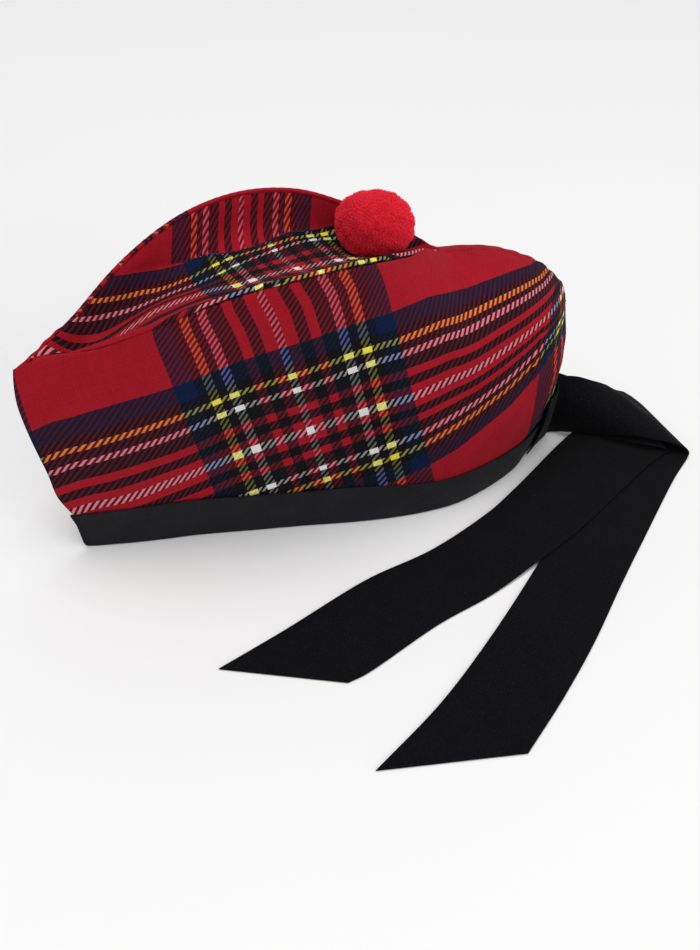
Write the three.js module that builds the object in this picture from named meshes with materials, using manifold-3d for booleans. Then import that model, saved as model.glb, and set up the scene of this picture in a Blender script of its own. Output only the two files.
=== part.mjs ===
// Glengarry cap in millimetres, +Z up, resting on its rim at z = 0.
// Front of the cap toward -X, back toward +X, wearer's left side toward -Y.
import * as THREE from 'three';
import { mergeVertices } from 'three/addons/utils/BufferGeometryUtils.js';
import Module from 'manifold-3d';

// Wall thicknesses and clearances
const CLOTH_WALL = 2.0;
const RIBBON_WALL = 1.0;
const BAND_WALL = 1.2;
const SEAM_GAP = 0.3;
const BAND_OUTER_GAP = 0.6;
const BAND_INNER_GAP = 0.7;
const BAND_TIP_EXTRA = 0.85;
const FOOT_GAP = 0.6;

// Height of the rim band's inside leg, and where its outside leg bends along the cloth
const BAND_INSIDE = 14.0;
const BAND_BEND_SHARE = 0.5;
const CLOTH_FOOT = BAND_WALL + FOOT_GAP;

// The tables measure x from the front foot of the rim; this is the rim's middle
const RIM_MIDDLE = 131.0;

// Heights of the belly and shoulder curves as shares of each section's top height
const BELLY_SHARE = 0.42;
const SHOULDER_SHARE = 0.80;

// Half width over which the back dome turns into a sharp sewn ridge
const RIDGE_BLEND = 13.0;

// Mesh steps
const STEPS_PER_SECTION = 3;
const SIDE_STEPS_UP = 11;
const TOP_STEPS_ACROSS = 14;
const TOP_STEPS_ALONG = 30;
const TAIL_STEPS_PER_ROW = 3;
const TAIL_STEPS_ACROSS = 4;
const STATION_STEP = 0.02;
const FOOT_SEARCH_STEPS = 40;
const FOOT_SEARCH_TOP = 0.5;
const WELD_DISTANCE = 1e-4;

// Insets of the crown piece from the sewn ridge, on its gentle and its steep side
const TOP_INSET_LEFT = 4.1;
const TOP_INSET_RIGHT = 4.7;
const TOP_INSET_TIP = 3.4;
const TOP_INSET_BLEND = 1.6;
const TOP_TIP_HALF = 0.8;

// Pompom: a squashed ball of wool locks, and the bed that the crown cloth leaves it
const TOORIE_RADIUS = 20.8;
const TOORIE_RISE = 15.3;
const TOORIE_DETAIL = 8;
const TOORIE_AT = new THREE.Vector3(155.5, 3.5, 146.8);
const TOORIE_LOCKS = 64;
const TOORIE_LOCK_ANGLE = 0.3;
const TOORIE_LOCK_DEPTH = 0.08;
const TOORIE_BED_DEPTH = 40.0;
const TOORIE_BED_LIP = 14.0;
const TOORIE_BED_LIP_RISE = 2.4;
const TOORIE_BED_GAP = 0.7;
const GOLDEN_ANGLE = Math.PI * (3 - Math.sqrt(5));

// Finishes
const TARTAN = { color: 0xb01722, roughness: 0.9, metalness: 0 };
const CROWN_TARTAN = { color: 0xa3151f, roughness: 0.9, metalness: 0 };
const TOORIE_WOOL = { color: 0xd8152a, roughness: 0.95, metalness: 0 };
const RIBBON = { color: 0x1d1d20, roughness: 0.6, metalness: 0 };
const BINDING = { color: 0x232326, roughness: 0.7, metalness: 0 };

// Turn rows of numbers into records with named columns
function table(columns, rows) {
  return rows.map((row) => Object.fromEntries(columns.map((name, i) => [name, row[i]])));
}

// One row per section from the front seam to the back seam, half widths from the middle plane;
// bandTop is the height of the rim band's outside leg there
const SECTIONS = table(
  [
    'rimX', 'rimHalf', 'bellyX', 'bellyHalf', 'shoulderX', 'shoulderHalf',
    'topX', 'topHalf', 'topZ', 'bandTop',
  ],
  [
    [1.5, 0.0, -14.0, 0.0, -22.5, 0.0, -21.5, 0.0, 109.5, 21.8],
    [12.5, 2.6, -3.0, 5.0, -11.0, 5.0, -8.0, 4.5, 115.5, 23.2],
    [28.0, 6.4, 14.0, 11.5, 5.0, 13.3, 7.0, 13.8, 121.0, 24.8],
    [53.0, 11.4, 44.0, 20.5, 36.0, 27.0, 36.0, 29.6, 135.3, 26.4],
    [80.0, 18.6, 75.0, 28.5, 71.0, 37.5, 71.5, 41.0, 150.0, 25.4],
    [105.0, 25.2, 102.5, 34.5, 100.0, 42.5, 100.0, 45.3, 155.6, 24.6],
    [130.0, 32.4, 129.5, 39.0, 128.5, 40.8, 128.0, 40.0, 155.2, 24.4],
    [152.0, 37.2, 152.0, 42.0, 151.5, 38.5, 151.0, 28.5, 149.0, 22.0],
    [170.0, 39.2, 171.0, 43.3, 172.0, 36.5, 172.0, 13.0, 139.2, 20.0],
    [185.0, 38.9, 187.5, 43.0, 189.5, 35.0, 190.0, 0.0, 128.2, 19.8],
    [200.0, 35.2, 204.5, 41.0, 206.0, 33.5, 206.0, 0.0, 126.2, 20.2],
    [215.0, 29.6, 221.5, 37.2, 223.5, 31.2, 222.0, 0.0, 123.2, 20.4],
    [229.0, 22.4, 236.5, 30.8, 239.0, 27.0, 238.5, 0.0, 115.6, 20.4],
    [242.0, 11.8, 248.6, 22.4, 252.0, 20.0, 252.8, 0.0, 105.2, 20.4],
    [252.5, 4.8, 256.4, 12.8, 259.6, 12.0, 261.8, 0.0, 95.2, 20.4],
    [260.5, 0.0, 260.0, 0.0, 263.2, 0.0, 266.0, 0.0, 84.0, 20.4],
  ],
);

// Crown valley, one row per ridge section: knee and foot across the width as shares of the half
// width, and how far each lies below the ridge
const VALLEY = table(
  ['kneeShare', 'kneeDrop', 'footShare', 'footDrop'],
  [
    [-0.1, 0.5, 0.3, 1.0],
    [-0.25, 1.5, 0.3, 2.0],
    [-0.4, 8.0, 0.45, 11.0],
    [-0.35, 12.5, 0.62, 17.5],
    [-0.3, 16.0, 0.7, 21.0],
    [-0.3, 16.5, 0.74, 21.0],
    [-0.28, 16.0, 0.74, 19.8],
    [-0.3, 13.5, 0.66, 16.5],
    [-0.3, 7.5, 0.45, 9.0],
    [-0.2, 0.5, 0.3, 1.0],
  ],
);

const TAIL_COLUMNS = ['lowX', 'lowY', 'lowZ', 'highX', 'highY', 'highZ', 'bulge'];

// Ribbon end that is sewn on the left of the back, comes over the fold and then lies underneath
const TAIL_LOWER_ROWS = table(TAIL_COLUMNS, [
  [241.4, -16.3, 0.8, 246.8, -25.1, 40.0, 1.6],
  [248.1, -11.3, 0.8, 253.4, -19.7, 39.5, 1.6],
  [254.1, -7.4, 0.8, 258.7, -13.7, 39.0, 1.6],
  [258.6, -4.7, 0.8, 261.8, -7.3, 38.5, 1.6],
  [263.4, -2.2, 0.8, 265.0, -2.4, 38.0, 1.0],
  [272.0, -8.5, 3.0, 277.0, -3.0, 35.5, 5.0],
  [283.0, -20.5, 6.5, 288.0, -4.5, 30.0, 7.0],
  [296.0, -34.0, 9.5, 300.0, -5.0, 22.5, 5.0],
  [308.0, -44.0, 10.0, 309.5, -5.0, 17.0, 2.0],
  [317.0, -49.5, 8.0, 315.5, -5.5, 13.0, 1.0],
  [321.0, -51.5, 4.4, 319.0, -6.5, 7.4, 0.0],
  [319.0, -53.5, 1.0, 314.0, -7.5, 1.4, 0.0],
  [302.0, -68.0, 0.7, 293.0, -22.0, 0.7, 0.0],
  [265.0, -100.5, 0.7, 240.0, -66.0, 0.7, 0.0],
  [232.5, -128.0, 0.7, 201.0, -99.5, 0.7, 0.0],
  [198.0, -158.0, 0.7, 157.0, -134.5, 0.7, 0.0],
  [167.5, -182.0, 0.7, 117.0, -163.5, 0.7, 0.0],
  [138.0, -203.5, 0.7, 77.5, -187.0, 0.7, 0.0],
]);

// Ribbon end that is sewn on the right of the back, folded inside the other one and lying on top of it
const TAIL_UPPER_ROWS = table(TAIL_COLUMNS, [
  [241.4, 16.3, 0.8, 246.8, 25.1, 40.0, -1.6],
  [248.1, 11.3, 0.8, 253.4, 19.7, 39.5, -1.6],
  [254.1, 7.4, 0.8, 258.7, 13.7, 39.0, -1.6],
  [259.8, 5.0, 0.8, 262.6, 8.3, 38.5, -1.4],
  [265.4, 1.8, 0.8, 267.6, 4.4, 36.5, 1.0],
  [271.0, -4.4, 1.2, 276.0, 1.4, 32.6, 4.0],
  [281.0, -16.5, 3.2, 286.0, 0.4, 25.6, 4.0],
  [292.0, -30.5, 5.4, 296.0, -1.2, 17.6, 2.5],
  [302.0, -41.0, 6.6, 303.5, -2.5, 12.6, 0.5],
  [309.0, -45.5, 6.0, 308.0, -3.0, 9.6, 0.0],
  [312.0, -47.0, 4.4, 311.0, -4.0, 6.4, 0.0],
  [309.0, -48.0, 2.7, 307.0, -5.0, 3.3, 0.0],
  [293.0, -54.5, 2.5, 277.5, -8.0, 2.3, 0.0],
  [236.0, -84.5, 2.4, 220.5, -42.0, 2.2, 0.0],
  [201.0, -99.5, 2.3, 194.0, -56.2, 1.6, 0.0],
  [169.0, -111.0, 0.9, 156.5, -69.8, 0.7, 0.0],
  [136.0, -119.5, 0.7, 117.0, -78.0, 0.7, 0.0],
  [97.0, -134.0, 0.7, 70.0, -94.8, 0.7, 0.0],
  [83.5, -137.0, 0.7, 33.0, -107.0, 0.7, 0.0],
]);

const MIRROR_Y = new THREE.Vector3(1, -1, 1);
const wasm = await Module();
wasm.setup();

// Point on a smooth curve through the given points, t counted in points; the end tangent can be led
function smooth(points, t, after) {
  const last = points.length - 1;
  const i = Math.min(Math.max(Math.floor(t), 0), last - 1);
  const w = Math.min(Math.max(t - i, 0), 1);
  const p1 = points[i];
  const p2 = points[i + 1];
  const p0 = i > 0 ? points[i - 1] : p1.clone().multiplyScalar(2).sub(p2);
  let p3 = i + 2 <= last ? points[i + 2] : p2.clone().multiplyScalar(2).sub(p1);
  if (i + 2 > last && after) {
    p3 = after;
  }
  const blend = (a, b, c, d) => 0.5 * (2 * b + (c - a) * w + (2 * a - 5 * b + 4 * c - d) * w * w
    + (3 * b - a - 3 * c + d) * w * w * w);
  return new THREE.Vector3(
    blend(p0.x, p1.x, p2.x, p3.x),
    blend(p0.y, p1.y, p2.y, p3.y),
    blend(p0.z, p1.z, p2.z, p3.z),
  );
}

// Hold a point on the left of the middle plane
function keepLeft(point, clearance) {
  point.y = Math.min(point.y, -clearance);
  return point;
}

const RIM_CURVE = SECTIONS.map((s) => new THREE.Vector3(s.rimX, -s.rimHalf, 0));
const BELLY_CURVE = SECTIONS.map((s) => new THREE.Vector3(s.bellyX, -s.bellyHalf, BELLY_SHARE * s.topZ));
const SHOULDER_CURVE = SECTIONS.map(
  (s) => new THREE.Vector3(s.shoulderX, -s.shoulderHalf, SHOULDER_SHARE * s.topZ),
);
const TOP_CURVE = SECTIONS.map((s) => new THREE.Vector3(s.topX, -s.topHalf, s.topZ));

// The left side's profile at one station, from rim to ridge
function sideProfile(station) {
  const points = [RIM_CURVE, BELLY_CURVE, SHOULDER_CURVE, TOP_CURVE].map(
    (curve) => keepLeft(smooth(curve, station), 0),
  );
  const [shoulder, top] = points.slice(-2);
  const sharp = Math.min(Math.max(-top.y / RIDGE_BLEND, 0), 1);
  const across = shoulder.clone().multiply(MIRROR_Y);
  const straight = top.clone().multiplyScalar(2).sub(shoulder);
  return { points, after: across.lerp(straight, sharp) };
}

// Point of a profile at a share of the way up
function profilePoint(profile, up) {
  return keepLeft(smooth(profile.points, up * (profile.points.length - 1), profile.after), 0);
}

// Share of the way up a profile at which it reaches a height near the rim
function profileAtHeight(profile, height) {
  let low = 0;
  let high = FOOT_SEARCH_TOP;
  for (let step = 0; step < FOOT_SEARCH_STEPS; step += 1) {
    const middle = (low + high) / 2;
    if (profilePoint(profile, middle).z < height) {
      low = middle;
    } else {
      high = middle;
    }
  }
  return low;
}

const STATIONS = (SECTIONS.length - 1) * STEPS_PER_SECTION;
const PROFILES = [];
for (let i = 0; i <= STATIONS; i += 1) {
  PROFILES.push(sideProfile(i / STEPS_PER_SECTION));
}

// Unit normals of a grid of points, along by up
function gridNormals(grid) {
  const rows = grid.length - 1;
  const columns = grid[0].length - 1;
  return grid.map((line, i) => line.map((point, j) => {
    const along = grid[Math.min(i + 1, rows)][j].clone().sub(grid[Math.max(i - 1, 0)][j]);
    const up = line[Math.min(j + 1, columns)].clone().sub(line[Math.max(j - 1, 0)]);
    return along.cross(up).normalize();
  }));
}

// Closed triangle mesh from vertices and faces, turned so that it faces out
function closedGeometry(vertices, faces) {
  let volume = 0;
  for (const [a, b, c] of faces) {
    volume += vertices[a].dot(vertices[b].clone().cross(vertices[c]));
  }
  const index = faces.flatMap(([a, b, c]) => (volume > 0 ? [a, b, c] : [a, c, b]));
  const geometry = new THREE.BufferGeometry();
  geometry.setFromPoints(vertices);
  geometry.setIndex(index);
  return geometry;
}

// Two faces for a four-cornered patch
function patch(faces, a, b, c, d) {
  faces.push([a, b, c], [a, c, d]);
}

// Sheet with thickness: a front grid and a back grid of the same size, joined round the edge
function sheetGeometry(front, back) {
  const rows = front.length;
  const columns = front[0].length;
  const vertices = [...front.flat(), ...back.flat()];
  const size = rows * columns;
  const faces = [];
  const at = (i, j) => i * columns + j;
  for (let i = 0; i + 1 < rows; i += 1) {
    for (let j = 0; j + 1 < columns; j += 1) {
      patch(faces, at(i, j), at(i + 1, j), at(i + 1, j + 1), at(i, j + 1));
      patch(faces, size + at(i, j), size + at(i, j + 1), size + at(i + 1, j + 1), size + at(i + 1, j));
    }
  }
  for (let i = 0; i + 1 < rows; i += 1) {
    const end = columns - 1;
    patch(faces, at(i, 0), size + at(i, 0), size + at(i + 1, 0), at(i + 1, 0));
    patch(faces, at(i, end), at(i + 1, end), size + at(i + 1, end), size + at(i, end));
  }
  for (let j = 0; j + 1 < columns; j += 1) {
    const end = rows - 1;
    patch(faces, at(0, j), at(0, j + 1), size + at(0, j + 1), size + at(0, j));
    patch(faces, at(end, j), size + at(end, j), size + at(end, j + 1), at(end, j + 1));
  }
  return closedGeometry(vertices, faces);
}

// The same grid on the other side of the middle plane
function mirrored(grid) {
  return grid.map((line) => line.map((point) => point.clone().multiply(MIRROR_Y)));
}

// Left side panel: outer cloth face and the face one wall inside it, mitred at the middle plane
function sideGrids() {
  const outer = PROFILES.map((profile) => {
    const foot = profileAtHeight(profile, CLOTH_FOOT);
    const line = [];
    for (let j = 0; j <= SIDE_STEPS_UP; j += 1) {
      line.push(profilePoint(profile, foot + (1 - foot) * (j / SIDE_STEPS_UP)));
    }
    return line;
  });
  const normals = gridNormals(outer);
  const inner = outer.map((line, i) => line.map((point, j) => keepLeft(
    point.clone().addScaledVector(normals[i][j], -CLOTH_WALL),
    SEAM_GAP / 2,
  )));
  outer.forEach((line) => line.forEach((point) => keepLeft(point, SEAM_GAP / 2)));
  return { outer, inner };
}

// Outward directions in plan along a left-side curve
function planNormals(curve) {
  const last = curve.length - 1;
  return curve.map((point, i) => {
    const along = curve[Math.min(i + 1, last)].clone().sub(curve[Math.max(i - 1, 0)]);
    return new THREE.Vector3(along.y, -along.x, 0).normalize();
  });
}

// Left-side curve moved outward in plan, its two ends kept on the middle plane as drawn-out corners
function outsetCurve(curve, distance) {
  const normals = planNormals(curve);
  const last = curve.length - 1;
  const stretch = 1 + BAND_TIP_EXTRA / distance;
  normals[0].set(-stretch, 0, 0);
  normals[last].set(stretch, 0, 0);
  return curve.map((point, i) => point.clone().addScaledVector(normals[i], distance));
}

// Left-side curve moved inward in plan, cut at the middle plane and spread evenly again
function insetCurve(curve, distance) {
  const normals = planNormals(curve);
  const moved = curve.map((point, i) => point.clone().addScaledVector(normals[i], -distance));
  const cut = [];
  for (let i = 0; i < moved.length; i += 1) {
    const before = moved[i - 1];
    const now = moved[i];
    if (before && (before.y < 0) !== (now.y < 0)) {
      const share = before.y / (before.y - now.y);
      cut.push(before.clone().lerp(now, share).setY(0));
    }
    if (now.y < 0) {
      cut.push(now);
    }
  }
  const lengths = [0];
  for (let i = 1; i < cut.length; i += 1) {
    lengths.push(lengths[i - 1] + cut[i].distanceTo(cut[i - 1]));
  }
  const total = lengths[lengths.length - 1];
  return curve.map((point, k) => {
    const want = (total * k) / (curve.length - 1);
    let i = 1;
    while (i < cut.length - 1 && lengths[i] < want) {
      i += 1;
    }
    const share = (want - lengths[i - 1]) / (lengths[i] - lengths[i - 1]);
    return cut[i - 1].clone().lerp(cut[i], share);
  });
}

// Rim band: a ribbon folded over the cloth edge, swept once round the rim
function bandGeometry() {
  const bandTops = SECTIONS.map((s) => new THREE.Vector3(s.bandTop, 0, 0));
  const curve = (heightAt) => PROFILES.map((profile, i) => {
    const height = heightAt(i / STEPS_PER_SECTION);
    const point = profilePoint(profile, height > 0 ? profileAtHeight(profile, height) : 0);
    return point.setZ(height);
  });
  const level = (height) => curve(() => height);
  const upOutside = (share) => curve((station) => share * smooth(bandTops, station).x);
  const slot = CLOTH_WALL + BAND_INNER_GAP;
  const corners = [
    outsetCurve(level(0), BAND_OUTER_GAP + BAND_WALL),
    outsetCurve(upOutside(BAND_BEND_SHARE), BAND_OUTER_GAP + BAND_WALL),
    outsetCurve(upOutside(1), BAND_OUTER_GAP + BAND_WALL),
    outsetCurve(upOutside(1), BAND_OUTER_GAP),
    outsetCurve(upOutside(BAND_BEND_SHARE), BAND_OUTER_GAP),
    outsetCurve(level(BAND_WALL), BAND_OUTER_GAP),
    insetCurve(level(BAND_WALL), slot),
    insetCurve(level(BAND_INSIDE), slot),
    insetCurve(level(BAND_INSIDE), slot + BAND_WALL),
    insetCurve(level(0), slot + BAND_WALL),
  ];
  const rings = [];
  for (let i = 0; i <= STATIONS; i += 1) {
    rings.push(corners.map((curve) => curve[i].clone()));
  }
  for (let i = STATIONS - 1; i > 0; i -= 1) {
    rings.push(corners.map((curve) => curve[i].clone().multiply(MIRROR_Y)));
  }
  const sides = corners.length;
  const faces = [];
  const at = (i, j) => (i % rings.length) * sides + (j % sides);
  for (let i = 0; i < rings.length; i += 1) {
    for (let j = 0; j < sides; j += 1) {
      patch(faces, at(i, j), at(i + 1, j), at(i + 1, j + 1), at(i, j + 1));
    }
  }
  return closedGeometry(rings.flat(), faces);
}

// Visible face of the crown piece between the two ridges, with its pressed valley
function crownGrid() {
  const last = VALLEY.length - 1;
  const ridgeAt = (station) => smooth(TOP_CURVE, station);
  const valleyAt = (station, column) => smooth(
    VALLEY.map((row) => new THREE.Vector3(row[column], 0, 0)),
    station,
  ).x;
  const edges = (station) => {
    const ahead = ridgeAt(Math.min(station + STATION_STEP, last));
    const behind = ridgeAt(Math.max(station - STATION_STEP, 0));
    const along = ahead.sub(behind);
    const inward = new THREE.Vector3(-along.y, along.x, 0).normalize();
    const ridge = ridgeAt(station);
    const full = Math.min(station, last - station, TOP_INSET_BLEND) / TOP_INSET_BLEND;
    const inset = (size) => TOP_INSET_TIP + (size - TOP_INSET_TIP) * full;
    const left = ridge.clone().addScaledVector(inward, inset(TOP_INSET_LEFT));
    const right = ridge.clone().addScaledVector(inward, inset(TOP_INSET_RIGHT)).multiply(MIRROR_Y);
    return { left, right };
  };
  const firstStation = (from, step) => {
    let station = from;
    while (edges(station).left.y > -TOP_TIP_HALF || edges(station).right.y < TOP_TIP_HALF) {
      station += step;
    }
    return station;
  };
  const start = firstStation(0, STATION_STEP);
  const finish = firstStation(last, -STATION_STEP);
  const grid = [];
  for (let i = 0; i <= TOP_STEPS_ALONG; i += 1) {
    const station = start + (finish - start) * (i / TOP_STEPS_ALONG);
    const { left, right } = edges(station);
    const middle = left.clone().lerp(right, 0.5);
    const half = (right.y - left.y) / 2;
    const across = (share, drop) => new THREE.Vector3(middle.x, middle.y + share * half, middle.z - drop);
    const section = [
      left,
      across(valleyAt(station, 'kneeShare'), valleyAt(station, 'kneeDrop')),
      across(valleyAt(station, 'footShare'), valleyAt(station, 'footDrop')),
      right,
    ];
    const line = [];
    for (let j = 0; j <= TOP_STEPS_ACROSS; j += 1) {
      line.push(smooth(section, ((section.length - 1) * j) / TOP_STEPS_ACROSS));
    }
    grid.push(line);
  }
  return grid;
}

// The same grid moved bodily
function moved(grid, shift) {
  return grid.map((line) => line.map((point) => point.clone().add(shift)));
}

// Ribbon tail: a strip between its low and its high edge, with a bulge where it is gathered
function tailGeometry(rows) {
  const low = rows.map((r) => new THREE.Vector3(r.lowX, r.lowY, r.lowZ));
  const high = rows.map((r) => new THREE.Vector3(r.highX, r.highY, r.highZ));
  const bulges = rows.map((r) => new THREE.Vector3(r.bulge, 0, 0));
  const steps = (rows.length - 1) * TAIL_STEPS_PER_ROW;
  const flat = [];
  const lift = [];
  for (let i = 0; i <= steps; i += 1) {
    const t = i / TAIL_STEPS_PER_ROW;
    const a = smooth(low, t);
    const b = smooth(high, t);
    const rise = smooth(bulges, t).x;
    const line = [];
    const lifts = [];
    for (let j = 0; j <= TAIL_STEPS_ACROSS; j += 1) {
      const share = j / TAIL_STEPS_ACROSS;
      line.push(a.clone().lerp(b, share));
      lifts.push(4 * share * (1 - share) * rise);
    }
    flat.push(line);
    lift.push(lifts);
  }
  const flatNormals = gridNormals(flat);
  const middle = flat.map((line, i) => line.map(
    (point, j) => point.clone().addScaledVector(flatNormals[i][j], lift[i][j]),
  ));
  const normals = gridNormals(middle);
  const side = (distance) => middle.map((line, i) => line.map(
    (point, j) => point.clone().addScaledVector(normals[i][j], distance),
  ));
  return sheetGeometry(side(RIBBON_WALL / 2), side(-RIBBON_WALL / 2));
}

// Closed geometry as a solid that can be cut
function toManifold(geometry) {
  return new wasm.Manifold(new wasm.Mesh({
    numProp: 3,
    vertProperties: new Float32Array(geometry.attributes.position.array),
    triVerts: new Uint32Array(geometry.index.array),
  }));
}

// Cut solid as a geometry
function fromManifold(solid) {
  const mesh = solid.getMesh();
  const geometry = new THREE.BufferGeometry();
  const positions = [];
  for (let i = 0; i < mesh.numVert; i += 1) {
    positions.push(...mesh.vertProperties.slice(i * mesh.numProp, i * mesh.numProp + 3));
  }
  geometry.setAttribute('position', new THREE.Float32BufferAttribute(positions, 3));
  geometry.setIndex([...mesh.triVerts]);
  return geometry;
}

// Directions in which the pompom's locks point, spread evenly over the ball
function lockDirections() {
  const directions = [];
  for (let i = 0; i < TOORIE_LOCKS; i += 1) {
    const z = 1 - (2 * i + 1) / TOORIE_LOCKS;
    const radius = Math.sqrt(1 - z * z);
    const turn = i * GOLDEN_ANGLE;
    directions.push(new THREE.Vector3(radius * Math.cos(turn), radius * Math.sin(turn), z));
  }
  return directions;
}

// Ball of radius 1 whose surface is drawn in between the tips of its locks
function lockBall() {
  const ball = new THREE.IcosahedronGeometry(1, TOORIE_DETAIL);
  ball.deleteAttribute('normal');
  ball.deleteAttribute('uv');
  const welded = mergeVertices(ball, WELD_DISTANCE);
  const position = welded.attributes.position;
  const locks = lockDirections();
  const point = new THREE.Vector3();
  for (let i = 0; i < position.count; i += 1) {
    point.fromBufferAttribute(position, i).normalize();
    const angle = Math.min(...locks.map((lock) => point.angleTo(lock)));
    const away = Math.min(angle / TOORIE_LOCK_ANGLE, 1);
    point.multiplyScalar(1 - TOORIE_LOCK_DEPTH * away * away);
    position.setXYZ(i, point.x, point.y, point.z);
  }
  return welded;
}

// Pompom: the ball of locks squashed and bedded in the valley, cut clear of the crown cloth
function toorieGeometry(crown) {
  const ball = lockBall();
  ball.scale(TOORIE_RADIUS, TOORIE_RADIUS, TOORIE_RISE);
  const lipLeft = new THREE.Vector3(0, -TOORIE_BED_LIP, TOORIE_BED_LIP_RISE);
  const lipRight = new THREE.Vector3(0, TOORIE_BED_LIP, TOORIE_BED_LIP_RISE);
  const wide = crown.map((line) => [
    line[0].clone().add(lipLeft),
    ...line,
    line[line.length - 1].clone().add(lipRight),
  ]);
  const bed = sheetGeometry(
    moved(wide, new THREE.Vector3(0, 0, TOORIE_BED_GAP)),
    moved(wide, new THREE.Vector3(0, 0, -TOORIE_BED_DEPTH)),
  );
  bed.translate(-TOORIE_AT.x, -TOORIE_AT.y, -TOORIE_AT.z);
  return fromManifold(toManifold(ball).subtract(toManifold(bed)));
}

// One named piece with its finish
function named(name, geometry, finish) {
  geometry.computeVertexNormals();
  const mesh = new THREE.Mesh(geometry, new THREE.MeshStandardMaterial(finish));
  mesh.name = name;
  return mesh;
}

const sides = sideGrids();
const crown = crownGrid();
const crownNormals = gridNormals(crown);
const crownUnder = crown.map((line, i) => line.map(
  (point, j) => point.clone().addScaledVector(crownNormals[i][j], -CLOTH_WALL),
));

// Sewn cloth of the cap
const cloth = new THREE.Group();
cloth.add(named('side_panel_left', sheetGeometry(sides.outer, sides.inner), TARTAN));
cloth.add(named(
  'side_panel_right',
  sheetGeometry(mirrored(sides.outer), mirrored(sides.inner)),
  TARTAN,
));
cloth.add(named('top_panel', sheetGeometry(crown, crownUnder), CROWN_TARTAN));

// Pompom on the crown
const toorie = named('toorie', toorieGeometry(crown), TOORIE_WOOL);
toorie.position.copy(TOORIE_AT);
cloth.add(toorie);

// Ribbon trim
const trim = new THREE.Group();
trim.add(named('rim_band', bandGeometry(), BINDING));
trim.add(named('ribbon_tail_upper', tailGeometry(TAIL_UPPER_ROWS), RIBBON));
trim.add(named('ribbon_tail_lower', tailGeometry(TAIL_LOWER_ROWS), RIBBON));

// The origin is the middle of the head opening, so the tables' x is counted from there
const group = new THREE.Group();
group.name = 'glengarry';
group.position.x = -RIM_MIDDLE;
group.add(cloth, trim);

export default group;
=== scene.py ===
"""Glengarry cap in red tartan, dressed for the studio.

Two side panels and a pressed crown of wool twill, a rim bound in grosgrain ribbon, a wool pompom and
two ribbon tails that lie on the floor behind the cap. Sizes are in millimetres until a mesh is made.
"""
from __future__ import annotations

import logging
import math
from abc import ABC, abstractmethod
from dataclasses import astuple, dataclass, replace
from enum import Enum
from typing import ClassVar, Mapping, Sequence, Union

import bmesh
import bpy
import numpy as np
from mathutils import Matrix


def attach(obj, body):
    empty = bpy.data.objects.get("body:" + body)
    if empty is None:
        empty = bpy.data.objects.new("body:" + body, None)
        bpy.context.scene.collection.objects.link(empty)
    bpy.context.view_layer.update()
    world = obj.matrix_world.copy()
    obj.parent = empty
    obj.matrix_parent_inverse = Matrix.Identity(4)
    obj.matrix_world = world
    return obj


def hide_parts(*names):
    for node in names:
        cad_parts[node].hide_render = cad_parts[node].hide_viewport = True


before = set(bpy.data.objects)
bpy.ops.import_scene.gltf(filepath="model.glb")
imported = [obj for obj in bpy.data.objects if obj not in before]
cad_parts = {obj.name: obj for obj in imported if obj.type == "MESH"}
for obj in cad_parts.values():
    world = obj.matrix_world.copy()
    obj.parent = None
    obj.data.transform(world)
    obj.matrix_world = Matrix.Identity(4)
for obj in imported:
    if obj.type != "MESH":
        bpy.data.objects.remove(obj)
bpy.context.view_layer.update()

LOG = logging.getLogger("glengarry")
MM = 0.001
BODY = "root"
CLOTH = "cloth"
# Mesh attribute that carries the pompom's painted shade and the random tone of its yarn ends
SHADE = "shade"

Grid = np.ndarray
Span = tuple[float, float]
Triple = tuple[float, float, float]
Colour = Triple
Socket = bpy.types.NodeSocket
Node = bpy.types.Node
Feed = Union[Socket, float, Sequence[float]]
# Number of even steps, and the stretch of fine steps at each end
Steps = tuple[int, float]

# Places of the fine steps beside an edge, as shares of the stretch that they fill
FINE_STEPS = np.array([0.0, 0.05, 0.14, 0.28, 0.48, 0.72])


def linear(red: int, green: int, blue: int) -> Colour:
    """Scene colour of a display colour.

    Args:
        red: Red from 0 to 255.
        green: Green from 0 to 255.
        blue: Blue from 0 to 255.

    Returns:
        The colour as light, from 0 to 1.
    """
    shares = [channel / 255 for channel in (red, green, blue)]
    return tuple(c / 12.92 if c <= 0.04045 else ((c + 0.055) / 1.055) ** 2.4 for c in shares)


def smooth(points: Grid, places: Grid, after: Grid | None = None) -> Grid:
    """Points on a smooth curve through the given points.

    Args:
        points: The points that the curve passes, one row each.
        places: Where to read the curve, counted in points.
        after: A point past the last one that leads the end of the curve.

    Returns:
        One row for each place.
    """
    points = np.asarray(points, float)
    places = np.atleast_1d(np.asarray(places, float))
    last = len(points) - 1
    index = np.clip(np.floor(places).astype(int), 0, last - 1)
    w = np.clip(places - index, 0, 1)[:, None]
    end = 2 * points[-1] - points[-2] if after is None else after
    padded = np.vstack([2 * points[0] - points[1], points, end])
    p0, p1, p2, p3 = (padded[index + k] for k in range(4))
    return 0.5 * (
        2 * p1
        + (p2 - p0) * w
        + (2 * p0 - 5 * p1 + 4 * p2 - p3) * w**2
        + (3 * p1 - p0 - 3 * p2 + p3) * w**3
    )


def eased(value: Grid, low: float, high: float) -> Grid:
    """Share from 0 at low to 1 at high, with a soft start and end."""
    share = np.clip((np.asarray(value, float) - low) / (high - low), 0, 1)
    return share * share * (3 - 2 * share)


def bell(distance: Grid, reach: float) -> Grid:
    """Share that falls softly from 1 at no distance to little beyond the reach."""
    return np.exp(-((distance / reach) ** 2))


def graded(start: float, stop: float, steps: int, edge: float) -> Grid:
    """Places from start to stop that lie closer together near both ends.

    Args:
        start: First place.
        stop: Last place.
        steps: Number of places between the two edge stretches.
        edge: Length of the finely stepped stretch at each end.

    Returns:
        The places in rising order.
    """
    fine = edge * FINE_STEPS
    return np.concatenate([start + fine, np.linspace(start + edge, stop - edge, steps), (stop - fine)[::-1]])


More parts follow.
